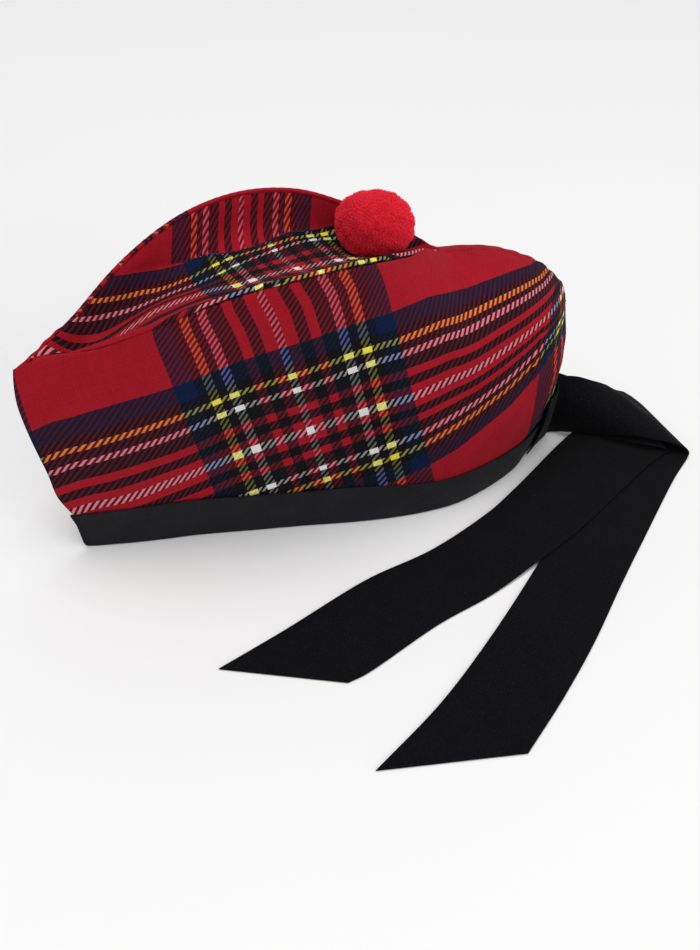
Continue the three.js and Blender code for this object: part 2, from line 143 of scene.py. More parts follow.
def unit(vectors: Grid) -> Grid:
    """Vectors scaled to a length of one."""
    return vectors / np.maximum(np.linalg.norm(vectors, axis=-1, keepdims=True), 1e-12)


def grid_normals(grid: Grid, closed: bool = False) -> Grid:
    """Unit normals of a grid of points.

    Args:
        grid: Points, rows along the piece and columns across it.
        closed: Whether the last row runs on into the first.

    Returns:
        A normal for each point.
    """
    if closed:
        along = np.roll(grid, -1, axis=0) - np.roll(grid, 1, axis=0)
    else:
        along = np.gradient(grid, axis=0)
    return unit(np.cross(along, np.gradient(grid, axis=1)))


def arc(grid: Grid, axis: int) -> Grid:
    """Distance travelled over a grid of points.

    Args:
        grid: The points.
        axis: Axis of the grid to travel along.

    Returns:
        The distance of each point from the first line.
    """
    steps = np.linalg.norm(np.diff(grid, axis=axis), axis=-1)
    start = np.zeros_like(np.take(steps, [0], axis=axis))
    return np.concatenate([start, np.cumsum(steps, axis=axis)], axis=axis)


def read_rows(place: float, places: Grid, values: Grid) -> Grid:
    """Value of each row of a grid at one place along it."""
    return np.array([np.interp(place, p, v) for p, v in zip(places, values)])


def lookup(places: Grid, rows: Sequence[Sequence[float]], column: int) -> Grid:
    """Values of one column of a small table, read between its rows by their first column."""
    table = np.array(rows, float)
    return np.interp(places, table[:, 0], table[:, column])


@dataclass(frozen=True)
class Ripple:
    """One soft wave in a cloth.

    Attributes:
        length: Wave length.
        turn: Direction of the wave in degrees from the length of the piece.
        height: Height of the wave above the mean.
        phase: Shift of the wave in radians.
    """

    length: float
    turn: float
    height: float
    phase: float

    def rise(self, along: Grid, across: Grid) -> Grid:
        """Height of the wave.

        Args:
            along: Places along the flat cloth.
            across: Places across it.

        Returns:
            A height for each place.
        """
        angle = math.radians(self.turn)
        travel = along * math.cos(angle) + across * math.sin(angle)
        return self.height * np.sin(travel * 2 * math.pi / self.length + self.phase)


@dataclass
class Mesh:
    """Arrays of one piece's mesh.

    Attributes:
        vertices: Points in millimetres.
        faces: Lists of corner numbers, one array for each number of corners.
        cloth: Cloth place of each point: along and across in millimetres, and its step in the twill.
        shade: A value from 0 to 1 at each point for the finish to use; on the pompom it holds painted shade
            deep in the pile and a random tone for each yarn end.
    """

    vertices: Grid
    faces: list[Grid]
    cloth: Grid
    shade: Grid

    def joined(self, other: Mesh) -> Mesh:
        """This mesh with another beside it.

        Args:
            other: The mesh to add.

        Returns:
            One mesh that holds both.
        """
        start = len(self.vertices)
        return Mesh(
            np.vstack([self.vertices, other.vertices]),
            self.faces + [faces + start for faces in other.faces],
            np.vstack([self.cloth, other.cloth]),
            np.concatenate([self.shade, other.shade]),
        )

    def to_blender(self, name: str) -> bpy.types.Mesh:
        """Blender mesh in metres.

        Args:
            name: Name of the mesh.

        Returns:
            The mesh with smooth faces, and the cloth places and shades as attributes.
        """
        mesh = bpy.data.meshes.new(name)
        sizes = np.concatenate([np.full(len(f), f.shape[1], int) for f in self.faces])
        corners = np.concatenate([f.ravel() for f in self.faces]).astype(np.int32)
        mesh.vertices.add(len(self.vertices))
        mesh.vertices.foreach_set("co", (self.vertices * MM).astype(np.float32).ravel())
        mesh.loops.add(len(corners))
        mesh.loops.foreach_set("vertex_index", corners)
        mesh.polygons.add(len(sizes))
        mesh.polygons.foreach_set("loop_start", (np.cumsum(sizes) - sizes).astype(np.int32))
        mesh.polygons.foreach_set("use_smooth", np.ones(len(sizes), bool))
        mesh.update(calc_edges=True)
        cloth = mesh.attributes.new(CLOTH, "FLOAT_VECTOR", "POINT")
        cloth.data.foreach_set("vector", self.cloth.astype(np.float32).ravel())
        shade = mesh.attributes.new(SHADE, "FLOAT", "POINT")
        shade.data.foreach_set("value", self.shade.astype(np.float32))
        mesh.validate()
        return mesh


@dataclass(frozen=True)
class ClothWall:
    """Cloth of some thickness with rounded edges.

    Attributes:
        outer: Grid of points of the outer face.
        wall: Thickness of the cloth.
        edge: Distance of each point from the nearest cut edge.
        cloth: Cloth places of the points, as in a mesh.
        closed: Whether the last row runs on into the first.
        blunt: Share of half the thickness that is left flat at a cut edge.
    """

    outer: Grid
    wall: float
    edge: Grid
    cloth: Grid
    closed: bool = False
    blunt: float = 0.02

    def faces_of_cloth(self) -> tuple[Grid, Grid]:
        """Both faces of the cloth, drawn together at the edges.

        Returns:
            The outer and the inner face's points.
        """
        normal = grid_normals(self.outer, self.closed)
        half = np.full(self.edge.shape, self.wall) / 2
        share = np.clip(self.edge / half, self.blunt, 1)
        pinch = (half * (1 - np.sqrt(1 - (1 - share) ** 2)))[..., None]
        front = self.outer - normal * pinch
        back = self.outer - normal * (2 * half[..., None] - pinch)
        return front, back

    def quads(self) -> Grid:
        """Faces of the front, of the back and round the edge.

        Returns:
            Four corner numbers for each face.
        """
        rows, columns = self.outer.shape[:2]
        size = rows * columns
        index = np.arange(size).reshape(rows, columns)
        if self.closed:
            index = np.vstack([index, index[:1]])
        a, b, c, d = index[:-1, :-1], index[1:, :-1], index[1:, 1:], index[:-1, 1:]
        first, last = index[:, 0], index[:, -1]
        quads = [
            np.stack([a, b, c, d], -1).reshape(-1, 4),
            np.stack([a, d, c, b], -1).reshape(-1, 4) + size,
            np.stack([first[:-1], first[:-1] + size, first[1:] + size, first[1:]], -1),
            np.stack([last[:-1], last[1:], last[1:] + size, last[:-1] + size], -1),
        ]
        if not self.closed:
            top, end = index[0], index[-1]
            quads.append(np.stack([top[:-1], top[1:], top[1:] + size, top[:-1] + size], -1))
            quads.append(np.stack([end[:-1], end[:-1] + size, end[1:] + size, end[1:]], -1))
        return np.concatenate(quads)

    def mesh(self, mirror: bool = False, keep_left: float | None = None) -> Mesh:
        """Closed mesh of the wall.

        Args:
            mirror: Whether to build it on the other side of the middle plane.
            keep_left: Clearance that the wall keeps on the left of the middle plane.

        Returns:
            The mesh with its cloth places.
        """
        front, back = self.faces_of_cloth()
        points = np.concatenate([front.reshape(-1, 3), back.reshape(-1, 3)])
        if keep_left is not None:
            points[:, 1] = np.minimum(points[:, 1], -keep_left)
        quads = self.quads()
        if mirror:
            points = points * [1, -1, 1]
            quads = quads[:, ::-1]
        cloth = np.concatenate([self.cloth.reshape(-1, 3)] * 2)
        return Mesh(points, [quads], cloth, np.zeros(len(points)))


class Board:
    """Places and links the nodes of one shader tree."""

    def __init__(self, tree: bpy.types.NodeTree) -> None:
        """Start on a tree."""
        self.tree = tree

    def add(self, kind: str, feeds: Mapping[str | int, Feed] | None = None, **settings: object) -> Node:
        """New node in the tree.

        Args:
            kind: Kind of the node.
            feeds: What feeds some of its inputs, by their names or numbers.
            settings: Values of some of its settings, by their names.

        Returns:
            The node.
        """
        node = self.tree.nodes.new(kind)
        for name, value in settings.items():
            setattr(node, name, value)
        for key, value in (feeds or {}).items():
            self.feed(node.inputs[key], value)
        return node

    def feed(self, socket: Socket, value: Feed) -> None:
        """Link a socket into an input, or set the input to a constant.

        Args:
            socket: The input.
            value: What feeds it.
        """
        if isinstance(value, Socket):
            self.tree.links.new(value, socket)
        elif isinstance(value, (int, float)):
            socket.default_value = value
        else:
            whole = len(socket.default_value)
            socket.default_value = (*value, 1.0)[:whole]

    def math(self, operation: str, *values: Feed) -> Socket:
        """Result of one sum on values, in order."""
        return self.add("ShaderNodeMath", dict(enumerate(values)), operation=operation).outputs[0]

    def between(self, value: Feed, low: float, high: float) -> Socket:
        """Value moved from the range 0 to 1 to the range low to high."""
        return self.math("MULTIPLY_ADD", value, high - low, low)

    def select(self, share: Feed, first: Feed, second: Feed) -> Socket:
        """Number between two numbers, the first at a share of 0 and the second at 1."""
        return self.math("MULTIPLY_ADD", share, self.math("SUBTRACT", second, first), first)

    def split(self, vector: Feed) -> list[Socket]:
        """The three numbers of a vector."""
        return list(self.add("ShaderNodeSeparateXYZ", {0: vector}).outputs)

    def vector(self, *numbers: Feed) -> Socket:
        """Vector of three numbers."""
        return self.add("ShaderNodeCombineXYZ", dict(enumerate(numbers))).outputs[0]

    def mix(self, share: Feed, first: Feed, second: Feed, blend: str = "MIX") -> Socket:
        """Colour between two colours.

        Args:
            share: Weight of the second colour.
            first: Colour at a weight of 0.
            second: Colour at a weight of 1.
            blend: Way of mixing.

        Returns:
            The mixed colour's socket.
        """
        node = self.add("ShaderNodeMix", {0: share}, data_type="RGBA", blend_type=blend)
        colours = [socket for socket in node.inputs if socket.type == "RGBA"]
        for socket, colour in zip(colours, (first, second)):
            self.feed(socket, colour)
        return next(socket for socket in node.outputs if socket.type == "RGBA")

    def shaded(self, colour: Feed, light: Feed) -> Socket:
        """Colour whose three parts are all multiplied by one number."""
        return self.mix(1.0, colour, self.vector(light, light, light), "MULTIPLY")

    def grey(self, colour: Feed) -> Socket:
        """Lightness of a colour."""
        return self.add("ShaderNodeRGBToBW", {0: colour}).outputs[0]

    def noise(self, vector: Feed, scale: float, detail: float = 2.0) -> Socket:
        """Soft noise from 0 to 1 over a vector."""
        feeds = {"Vector": vector, "Scale": scale, "Detail": detail}
        return self.add("ShaderNodeTexNoise", feeds).outputs[0]

    def chance(self, value: Feed) -> Socket:
        """Number from 0 to 1 that is drawn anew for each value."""
        return self.add("ShaderNodeTexWhiteNoise", {"W": value}, noise_dimensions="1D").outputs["Value"]

    def steps(self, value: Feed, stops: Sequence[tuple[float, Colour]]) -> Socket:
        """Colour of the stretch that a value from 0 to 1 falls in.

        Args:
            value: The value to read.
            stops: Start and colour of each stretch in rising order.

        Returns:
            The colour's socket.
        """
        node = self.add("ShaderNodeValToRGB", {0: value})
        ramp = node.color_ramp
        ramp.interpolation = "CONSTANT"
        while len(ramp.elements) < len(stops):
            ramp.elements.new(1.0)
        for element, (start, colour) in zip(ramp.elements, stops):
            element.position = start
            element.color = (*colour, 1.0)
        return node.outputs[0]

    def attribute(self, name: str, output: str) -> Socket:
        """Value that the mesh keeps at its points."""
        return self.add("ShaderNodeAttribute", attribute_name=name).outputs[output]

    def bump(self, height: Feed, depth: float, strength: float) -> Socket:
        """Normal of a surface with fine relief.

        Args:
            height: Relief from 0 to 1.
            depth: Height of the relief in metres.
            strength: Share of the relief that shows.

        Returns:
            The normal's socket.
        """
        feeds = {"Strength": strength, "Distance": depth, "Height": height}
        return self.add("ShaderNodeBump", feeds).outputs[0]


@dataclass(frozen=True)
class SocketPlan:
    """Name, kind and first value of a group's socket."""

    name: str
    kind: str
    value: float | None = None


VECTOR = "NodeSocketVector"
FLOAT = "NodeSocketFloat"
COLOR = "NodeSocketColor"


class EffectGroup(ABC):
    """Shader node group that several finishes place with their own values."""

    name: ClassVar[str]
    takes: ClassVar[tuple[SocketPlan, ...]]
    gives: ClassVar[tuple[SocketPlan, ...]]

    @abstractmethod
    def wire(self, board: Board, source: Sequence, sink: Sequence) -> None:
        """Place the nodes between the group's inputs and outputs.

        Args:
            board: The group's own board.
            source: Sockets that bring the group's inputs.
            sink: Sockets that take the group's outputs.
        """

    def tree(self) -> bpy.types.NodeTree:
        """The group's tree, built on its first use.

        Returns:
            The tree with its named sockets.
        """
        known = bpy.data.node_groups.get(self.name)
        if known:
            return known
        tree = bpy.data.node_groups.new(self.name, "ShaderNodeTree")
        for plans, way in ((self.takes, "INPUT"), (self.gives, "OUTPUT")):
            for plan in plans:
                socket = tree.interface.new_socket(plan.name, in_out=way, socket_type=plan.kind)
                if plan.value is not None:
                    socket.default_value = plan.value
        board = Board(tree)
        source = board.add("NodeGroupInput")
        sink = board.add("NodeGroupOutput")
        self.wire(board, source.outputs, sink.inputs)
        return tree

    def place(self, board: Board, **values: Feed) -> Node:
        """Put the group into a finish.

        Args:
            board: The finish's board.
            values: What feeds the group's inputs, by their names in lower case.

        Returns:
            The group's node.
        """
        feeds = {name.capitalize(): value for name, value in values.items()}
        return board.add("ShaderNodeGroup", feeds, node_tree=self.tree())


class Dye(Enum):
    """Colours of the tartan's yarns."""

    RED = linear(149, 21, 34)
    BLACK = linear(14, 13, 15)
    BOTTLE = linear(12, 16, 15)
    WHITE = linear(216, 215, 213)
    YELLOW = linear(220, 209, 74)
    NAVY = linear(7, 26, 58)


# Half of the tartan's sett from the middle of a block: where each stripe starts and its yarn
SETT: tuple[tuple[float, Dye], ...] = (
    (0.0, Dye.WHITE),
    (2.0, Dye.RED),
    (7.0, Dye.BLACK),
    (12.5, Dye.RED),
    (17.5, Dye.BOTTLE),
    (25.0, Dye.WHITE),
    (29.0, Dye.BLACK),
    (34.0, Dye.YELLOW),
    (38.0, Dye.BLACK),
    (43.0, Dye.NAVY),
    (53.5, Dye.RED),
)
HALF_SETT = 89.0
# Dark yarns as they tint the yarn above them
UNDER: Mapping[Dye, Colour] = {
    Dye.BLACK: (0.014, 0.014, 0.014),
    Dye.BOTTLE: (0.012, 0.016, 0.014),
    Dye.NAVY: (0.007, 0.011, 0.08),
}
# Middles of the outer pale lines on both sides of a block's middle
PALE_LINES = (-36.0, -27.0, 27.0, 36.0)


class TwillTartan(EffectGroup):
    """Two over two twill of dyed yarns in a tartan sett, with its diagonal relief, painted shade in its
    grooves and painted shade where a paler yarn lies below.

    Attributes:
        over: Number of yarns that each yarn passes over.
        warp_share: Share of its own dye in an upright yarn that lies on top.
        weft_share: Share of its own dye in a level yarn that lies on top.
        weft_trim: How much narrower the level pale lines are on each side.
        painted_pit_shade: How strongly painted shade darkens a yarn where a paler one lies below it.
        painted_groove_shade: Painted shade in the twill's grooves.
        painted_crest_light: Painted light on the twill's crests.
        yarn_shades: Shade of the darkest and of the lightest yarn.
        stray: How far a yarn strays to each side.
        stray_scale: Fineness of the straying.
        twill_stray: Steps that the twill strays for each millimetre of a yarn's straying.
        draw_apart: Distance between the random draws for upright and for level yarns.
    """

    name = "twill tartan"
    takes = (SocketPlan("Cloth", VECTOR), SocketPlan("Warp", FLOAT, 0.92), SocketPlan("Weft", FLOAT, 0.8))
    gives = (SocketPlan("Colour", COLOR), SocketPlan("Relief", FLOAT))
    over: ClassVar[float] = 2.0
    warp_share: ClassVar[float] = 0.5
    weft_share: ClassVar[float] = 0.72
    weft_trim: ClassVar[float] = 0.15
    painted_pit_shade: ClassVar[float] = 1.0
    painted_groove_shade: ClassVar[float] = 0.86
    painted_crest_light: ClassVar[float] = 1.05
    yarn_shades: ClassVar[Span] = (0.93, 1.06)
    stray: ClassVar[float] = 0.15
    stray_scale: ClassVar[float] = 0.12
    twill_stray: ClassVar[float] = 2.0
    draw_apart: ClassVar[float] = 1000.0

    def dyed(
        self, board: Board, place: Feed, share: float, trim: float, seen: Mapping[Dye, Colour] | None = None
    ) -> Socket:
        """Colour of the yarn at a place in the sett.

        Args:
            board: The group's board.
            place: Distance from the middle of a block.
            share: Power that weakens the dye to its share in the felted cloth.
            trim: How much narrower the pale lines are on each side.
            seen: Colours that stand in for some of the dyes.

        Returns:
            The colour's socket.
        """
        stand_ins = seen or {}
        stops = []
        pale_before = False
        for start, dye in SETT:
            pale = dye in (Dye.WHITE, Dye.YELLOW)
            moved = start + trim * (pale - pale_before) if start else start
            stops.append((moved / HALF_SETT, tuple(c**share for c in stand_ins.get(dye, dye.value))))
            pale_before = pale
        return board.steps(board.math("DIVIDE", place, HALF_SETT), stops)

    def crossing(self, board: Board, top: Feed, under: Feed, share: float, trims: Sequence[float]) -> Feed:
        """Colour of one yarn over another, which no yarn below lightens beyond the red ground, with painted
        shade where the yarn below is paler.

        Args:
            board: The group's board.
            top: Place in the sett of the yarn on top.
            under: Place in the sett of the yarn below it.
            share: Share of the upper yarn's dye in the mixed colour.
            trims: Trims of the upper and the lower yarn's lines.

        Returns:
            The colour's socket.
        """
        own = self.dyed(board, top, share, trims[0])
        rest = self.dyed(board, top, 1 - share, trims[0])
        below = self.dyed(board, under, 1 - share, trims[1], UNDER)
        ground = tuple(c ** (1 - share) for c in Dye.RED.value)
        limit = board.mix(1.0, rest, ground, "LIGHTEN")
        mixed = board.mix(1.0, own, board.mix(1.0, limit, below, "DARKEN"), "MULTIPLY")
        # Painted shade: the upper yarn is darkened where a paler yarn lies below it, as if shaded by the
        # raised pale yarns beside it
        paler = board.math("MAXIMUM", board.math("SUBTRACT", board.grey(below), board.grey(rest)), 0.0)
        light = board.math("MULTIPLY_ADD", paler, -self.painted_pit_shade, 1.0)
        return board.shaded(mixed, light)

    def wire(self, board: Board, source: Sequence, sink: Sequence) -> None:
        """Colour each yarn by its place in the sett, show warp or weft by the twill's step, and paint shade
        into the grooves and light onto the crests.
        """
        along, across, twill = board.split(source["Cloth"])
        shift = board.between(board.noise(source["Cloth"], self.stray_scale, 1.0), -self.stray, self.stray)
        places, shades = [], []
        for line, yarn, side in ((along, source["Warp"], 1.0), (across, source["Weft"], -1.0)):
            moved = board.math("MULTIPLY_ADD", shift, side, line)
            number = board.math("FLOOR", board.math("DIVIDE", moved, yarn))
            middle = board.math("MULTIPLY", board.math("ADD", number, 0.5), yarn)
            places.append(board.math("PINGPONG", middle, HALF_SETT))
            drawn = board.chance(board.math("ADD", number, self.draw_apart * side))
            shades.append(board.between(drawn, *self.yarn_shades))
        strayed = board.math("MULTIPLY_ADD", shift, self.twill_stray, twill)
        step = board.math("FLOORED_MODULO", strayed, 2 * self.over)
        warp = board.math("LESS_THAN", step, self.over)
        offset = board.math("SUBTRACT", board.math("FLOORED_MODULO", step, self.over), self.over / 2)
        relief = board.math("SUBTRACT", 1.0, board.math("MULTIPLY", offset, offset))
        warp_up = self.crossing(board, places[0], places[1], self.warp_share, (0.0, self.weft_trim))
        weft_up = self.crossing(board, places[1], places[0], self.weft_share, (self.weft_trim, 0.0))
        shade = board.select(warp, shades[1], shades[0])
        # Each yarn's random tone, times painted shade in the twill's grooves and painted light on its crests
        shade = board.math("MULTIPLY", shade, board.between(relief, self.painted_groove_shade, self.painted_crest_light))
        board.feed(sink["Colour"], board.shaded(board.mix(warp, weft_up, warp_up), shade))
        board.feed(sink["Relief"], relief)


class Grosgrain(EffectGroup):
    """Ribs of a grosgrain ribbon across its width, with the fine warp that binds them.

    Attributes:
        stray: How far a rib strays to each side.
        stray_scale: Fineness of the straying.
        warp_grain: Fineness of the warp along and across the ribbon.
        warp_relief: Height of the warp for each height of a rib.
    """

    name = "grosgrain"
    takes = (SocketPlan("Cloth", VECTOR), SocketPlan("Rib", FLOAT, 0.9))
    gives = (SocketPlan("Ribs", FLOAT), SocketPlan("Relief", FLOAT))
    stray: ClassVar[float] = 0.5
    stray_scale: ClassVar[float] = 0.2
    warp_grain: ClassVar[Span] = (0.9, 3.4)
    warp_relief: ClassVar[float] = 0.5

    def wire(self, board: Board, source: Sequence, sink: Sequence) -> None:
        """Round ribs with a warp that is finer than they are."""
        along, across, _ = board.split(source["Cloth"])
        shift = board.between(board.noise(source["Cloth"], self.stray_scale), -self.stray, self.stray)
        count = board.math("DIVIDE", board.math("ADD", along, shift), source["Rib"])
        offset = board.math("MULTIPLY_ADD", board.math("FRACT", count), 2.0, -1.0)
        ribs = board.math("SUBTRACT", 1.0, board.math("MULTIPLY", offset, offset))
        grain = [board.math("MULTIPLY", line, size) for line, size in zip((along, across), self.warp_grain)]
        warp = board.noise(board.vector(*grain, 0.0), 1.0)
        board.feed(sink["Ribs"], ribs)
        board.feed(sink["Relief"], board.math("MULTIPLY_ADD", warp, self.warp_relief, ribs))


class FibreFuzz(EffectGroup):
    """Loose fibres and uneven dye on any cloth.

    Attributes:
        patch_scale: Fineness of the broad patches.
        fibre_scale: Fineness of the fibres.
        fleck_scale: Fineness of the flecks.
        fleck_level: Height of the flecks' noise above which they show.
        fleck_gain: How sharply a fleck stands out.
    """

    name = "fibre fuzz"
    takes = (SocketPlan("Place", VECTOR), SocketPlan("Size", FLOAT, 1.0))
    gives = (SocketPlan("Patches", FLOAT), SocketPlan("Fibres", FLOAT), SocketPlan("Flecks", FLOAT))
    patch_scale: ClassVar[float] = 0.045
    fibre_scale: ClassVar[float] = 2.4
    fleck_scale: ClassVar[float] = 0.85
    fleck_level: ClassVar[float] = 0.62
    fleck_gain: ClassVar[float] = 9.0

    def wire(self, board: Board, source: Sequence, sink: Sequence) -> None:
        """Broad patches, fine fibres and a few pale flecks."""
        feeds = {0: source["Place"], "Scale": source["Size"]}
        place = board.add("ShaderNodeVectorMath", feeds, operation="SCALE").outputs[0]
        board.feed(sink["Patches"], board.noise(place, self.patch_scale, 3.0))
        board.feed(sink["Fibres"], board.noise(place, self.fibre_scale, 4.0))
        above = board.math("SUBTRACT", board.noise(place, self.fleck_scale), self.fleck_level)
        picked = board.math("MULTIPLY", above, self.fleck_gain)
        board.feed(sink["Flecks"], board.math("MINIMUM", board.math("MAXIMUM", picked, 0.0), 1.0))


@dataclass(frozen=True)
class Finish(ABC):
    """A finish that dresses one or more pieces.

    Attributes:
        name: Name of the material.
    """

    name: str

    @abstractmethod
    def dress(self, board: Board, surface: Node) -> None:
        """Feed the surface shader.

        Args:
            board: The material's board.
            surface: Its Principled BSDF.
        """

    def material(self) -> bpy.types.Material:
        """The finish's material, made on its first use.

        Returns:
            The material with its shader fed.
        """
        known = bpy.data.materials.get(self.name)
        if known:
            return known
        material = bpy.data.materials.new(self.name)
        material.use_nodes = True
        surface = material.node_tree.nodes["Principled BSDF"]
        self.dress(Board(material.node_tree), surface)
        return material


@dataclass(frozen=True)
class FibreCoat:
    """Loose fibres and uneven dye of one cloth, and the gloss that they leave it.

    Attributes:
        fineness: Fineness of the fibres.
        patches: Shade of the darkest and of the lightest patch of the dye.
        fibres: Shade of the darkest and of the lightest fibre.
        rough: Lowest and highest roughness.
        relief: Height of the fibres for each height of the weave below them.
        depth: Height of the weave in metres.
        shown: Share of the relief that shows.
        specular: Strength of the mirror part.
        sheen: Strength of the glow on the fibres.
    """

    fineness: float
    patches: Span
    fibres: Span
    rough: Span
    relief: float
    depth: float
    shown: float
    specular: float
    sheen: float

    def place(self, board: Board, cloth: Feed) -> Node:
        """Put the fibres' group into a finish."""
        return FibreFuzz().place(board, place=cloth, size=self.fineness)

    def light(self, board: Board, fuzz: Node) -> Socket:
        """Shade of the fibres on the patches below them.

        Args:
            board: The material's board.
            fuzz: The placed group.

        Returns:
            The shade's socket.
        """
        patches = board.between(fuzz.outputs["Patches"], *self.patches)
        return board.math("MULTIPLY", patches, board.between(fuzz.outputs["Fibres"], *self.fibres))

    def cover(self, board: Board, surface: Node, fuzz: Node, weave: Feed) -> None:
        """Give a surface its roughness, relief and sheen.

        Args:
            board: The material's board.
            surface: Its Principled BSDF.
            fuzz: The placed group.
            weave: Relief of the weave below the fibres.
        """
        fibres = fuzz.outputs["Fibres"]
        relief = board.math("MULTIPLY_ADD", fibres, self.relief, weave)
        board.feed(surface.inputs["Roughness"], board.between(fibres, *self.rough))
        board.feed(surface.inputs["Normal"], board.bump(relief, self.depth, self.shown))
        surface.inputs["Specular IOR Level"].default_value = self.specular
        surface.inputs["Sheen Weight"].default_value = self.sheen


@dataclass(frozen=True)
class TartanFinish(Finish):
    """Wool twill in the red tartan.

    Attributes:
        warp: Width of one upright yarn.
        weft: Width of one level yarn.
        rise: Height of one step of the twill.
        coat: Its fibres.
    """

    warp: float = 0.92
    weft: float = 0.8
    rise: float = 0.85
    coat: FibreCoat = FibreCoat(
        fineness=1.0,
        patches=(0.9, 1.1),
        fibres=(0.86, 1.14),
        rough=(0.8, 1.0),
        relief=0.6,
        depth=0.00014,
        shown=0.8,
        specular=0.04,
        sheen=0.02,
    )

    def twill(self, along: Grid, across: Grid) -> Grid:
        """Step in the twill at distances along and across the cloth, counted in yarns."""
        return along / self.warp - across / self.rise

    def dress(self, board: Board, surface: Node) -> None:
        """Tartan colours, softened by fibres, over the twill's relief."""
        cloth = board.attribute(CLOTH, "Vector")
        twill = TwillTartan().place(board, cloth=cloth, warp=self.warp, weft=self.weft)
        fuzz = self.coat.place(board, cloth)
        colour = board.shaded(twill.outputs["Colour"], self.coat.light(board, fuzz))
        board.feed(surface.inputs["Base Color"], colour)
        self.coat.cover(board, surface, fuzz, twill.outputs["Relief"])


@dataclass(frozen=True)
class GrosgrainFinish(Finish):
    """Dark ribbed ribbon.

    Attributes:
        colour: Colour of the ribs.
        rib: Width of one rib.
        coat: Its fibres.
        shades: Painted shade between the ribs and painted light on their crowns.
        lint: Share of lint in the colour of a fleck.
        lint_colour: Colour of the lint.
    """

    colour: Colour
    rib: float
    coat: FibreCoat
    shades: Span = (0.72, 1.12)
    lint: float = 0.035
    lint_colour: Colour = linear(190, 190, 196)

    def dress(self, board: Board, surface: Node) -> None:
        """Ribs painted lighter on their crowns and darker between them, with lint and uneven dye."""
        cloth = board.attribute(CLOTH, "Vector")
        ribs = Grosgrain().place(board, cloth=cloth, rib=self.rib)
        fuzz = self.coat.place(board, cloth)
        # Painted shade between the ribs and painted light on their crowns
        painted_rib_shading = board.between(ribs.outputs["Ribs"], *self.shades)
        dyed = board.shaded(self.colour, board.math("MULTIPLY", painted_rib_shading, self.coat.light(board, fuzz)))
        lint = board.math("MULTIPLY", fuzz.outputs["Flecks"], self.lint)
        board.feed(surface.inputs["Base Color"], board.mix(lint, dyed, self.lint_colour))
        self.coat.cover(board, surface, fuzz, ribs.outputs["Relief"])


@dataclass(frozen=True)
class WoolFinish(Finish):
    """Cut wool pile, painted dark at the roots with the shade deep in the pile and bright at the tips.

    Attributes:
        root: Colour deep in the pile, darkened with painted shade.
        tip: Colour of the cut ends.
        glow: Colour of the sheen.
        coat: Its fibres.
    """

    root: Colour
    tip: Colour
    glow: Colour
    coat: FibreCoat = FibreCoat(
        fineness=2.0,
        patches=(0.9, 1.1),
        fibres=(1.0, 1.0),
        rough=(0.8, 1.0),
        relief=1.0,
        depth=0.0003,
        shown=0.6,
        specular=0.05,
        sheen=0.12,
    )

    def dress(self, board: Board, surface: Node) -> None:
        """Painted shade by the height in the pile, darkest at the roots, with each yarn end's random tone and
        uneven dye.
        """
        fuzz = self.coat.place(board, board.attribute(CLOTH, "Vector"))
        # Painted shade: the root colour deep in the pile, the tip colour at the cut ends
        pile = board.mix(board.attribute(SHADE, "Fac"), self.root, self.tip)
        board.feed(surface.inputs["Base Color"], board.shaded(pile, self.coat.light(board, fuzz)))
        self.coat.cover(board, surface, fuzz, 0.0)
        board.feed(surface.inputs["Sheen Tint"], self.glow)


@dataclass(frozen=True)
class FloorFinish(Finish):
    """Plain pale paper under the cap.

    Attributes:
        dark: Colour of its darkest spots.
        pale: Colour of its palest spots.
        mottle: Fineness of the spots.
        rough: Roughness.
    """

    dark: Colour = (0.81, 0.81, 0.81)
    pale: Colour = (0.83, 0.83, 0.83)
    mottle: float = 3.0
    rough: float = 0.95

    def dress(self, board: Board, surface: Node) -> None:
        """Almost white, with the faintest mottle and no gloss."""
        spots = board.noise(board.add("ShaderNodeTexCoord").outputs["Object"], self.mottle)
        board.feed(surface.inputs["Base Color"], board.mix(spots, self.dark, self.pale))
        surface.inputs["Roughness"].default_value = self.rough
        surface.inputs["Specular IOR Level"].default_value = 0.0


SIDE_TARTAN = TartanFinish("red_tartan_side")
CROWN_TARTAN = TartanFinish("red_tartan_crown")
SILK_COAT = FibreCoat(
    fineness=1.4,
    patches=(0.45, 1.55),
    fibres=(0.3, 1.7),
    rough=(0.7, 0.9),
    relief=0.35,
    depth=0.00016,
    shown=0.7,
    specular=0.04,
    sheen=0.03,
)
WORN_COAT = replace(SILK_COAT, rough=(0.65, 0.9), specular=0.08)
BINDING = GrosgrainFinish("charcoal_grosgrain", linear(25, 25, 28), 0.8, WORN_COAT)
RIBBON = GrosgrainFinish("black_grosgrain", linear(8, 8, 11), 0.7, SILK_COAT)
POMPOM_WOOL = WoolFinish("red_wool_pile", linear(218, 38, 50), linear(250, 54, 76), linear(255, 90, 100))
FLOOR = FloorFinish("pale_floor")


@dataclass(frozen=True)
class Section:
    """One upright cut through the left side, x from the front foot and half widths from the middle."""

    rim_x: float
    rim_half: float
    belly_x: float
    belly_half: float
    shoulder_x: float
    shoulder_half: float
    top_x: float
    top_half: float
    top_z: float
    band_top: float


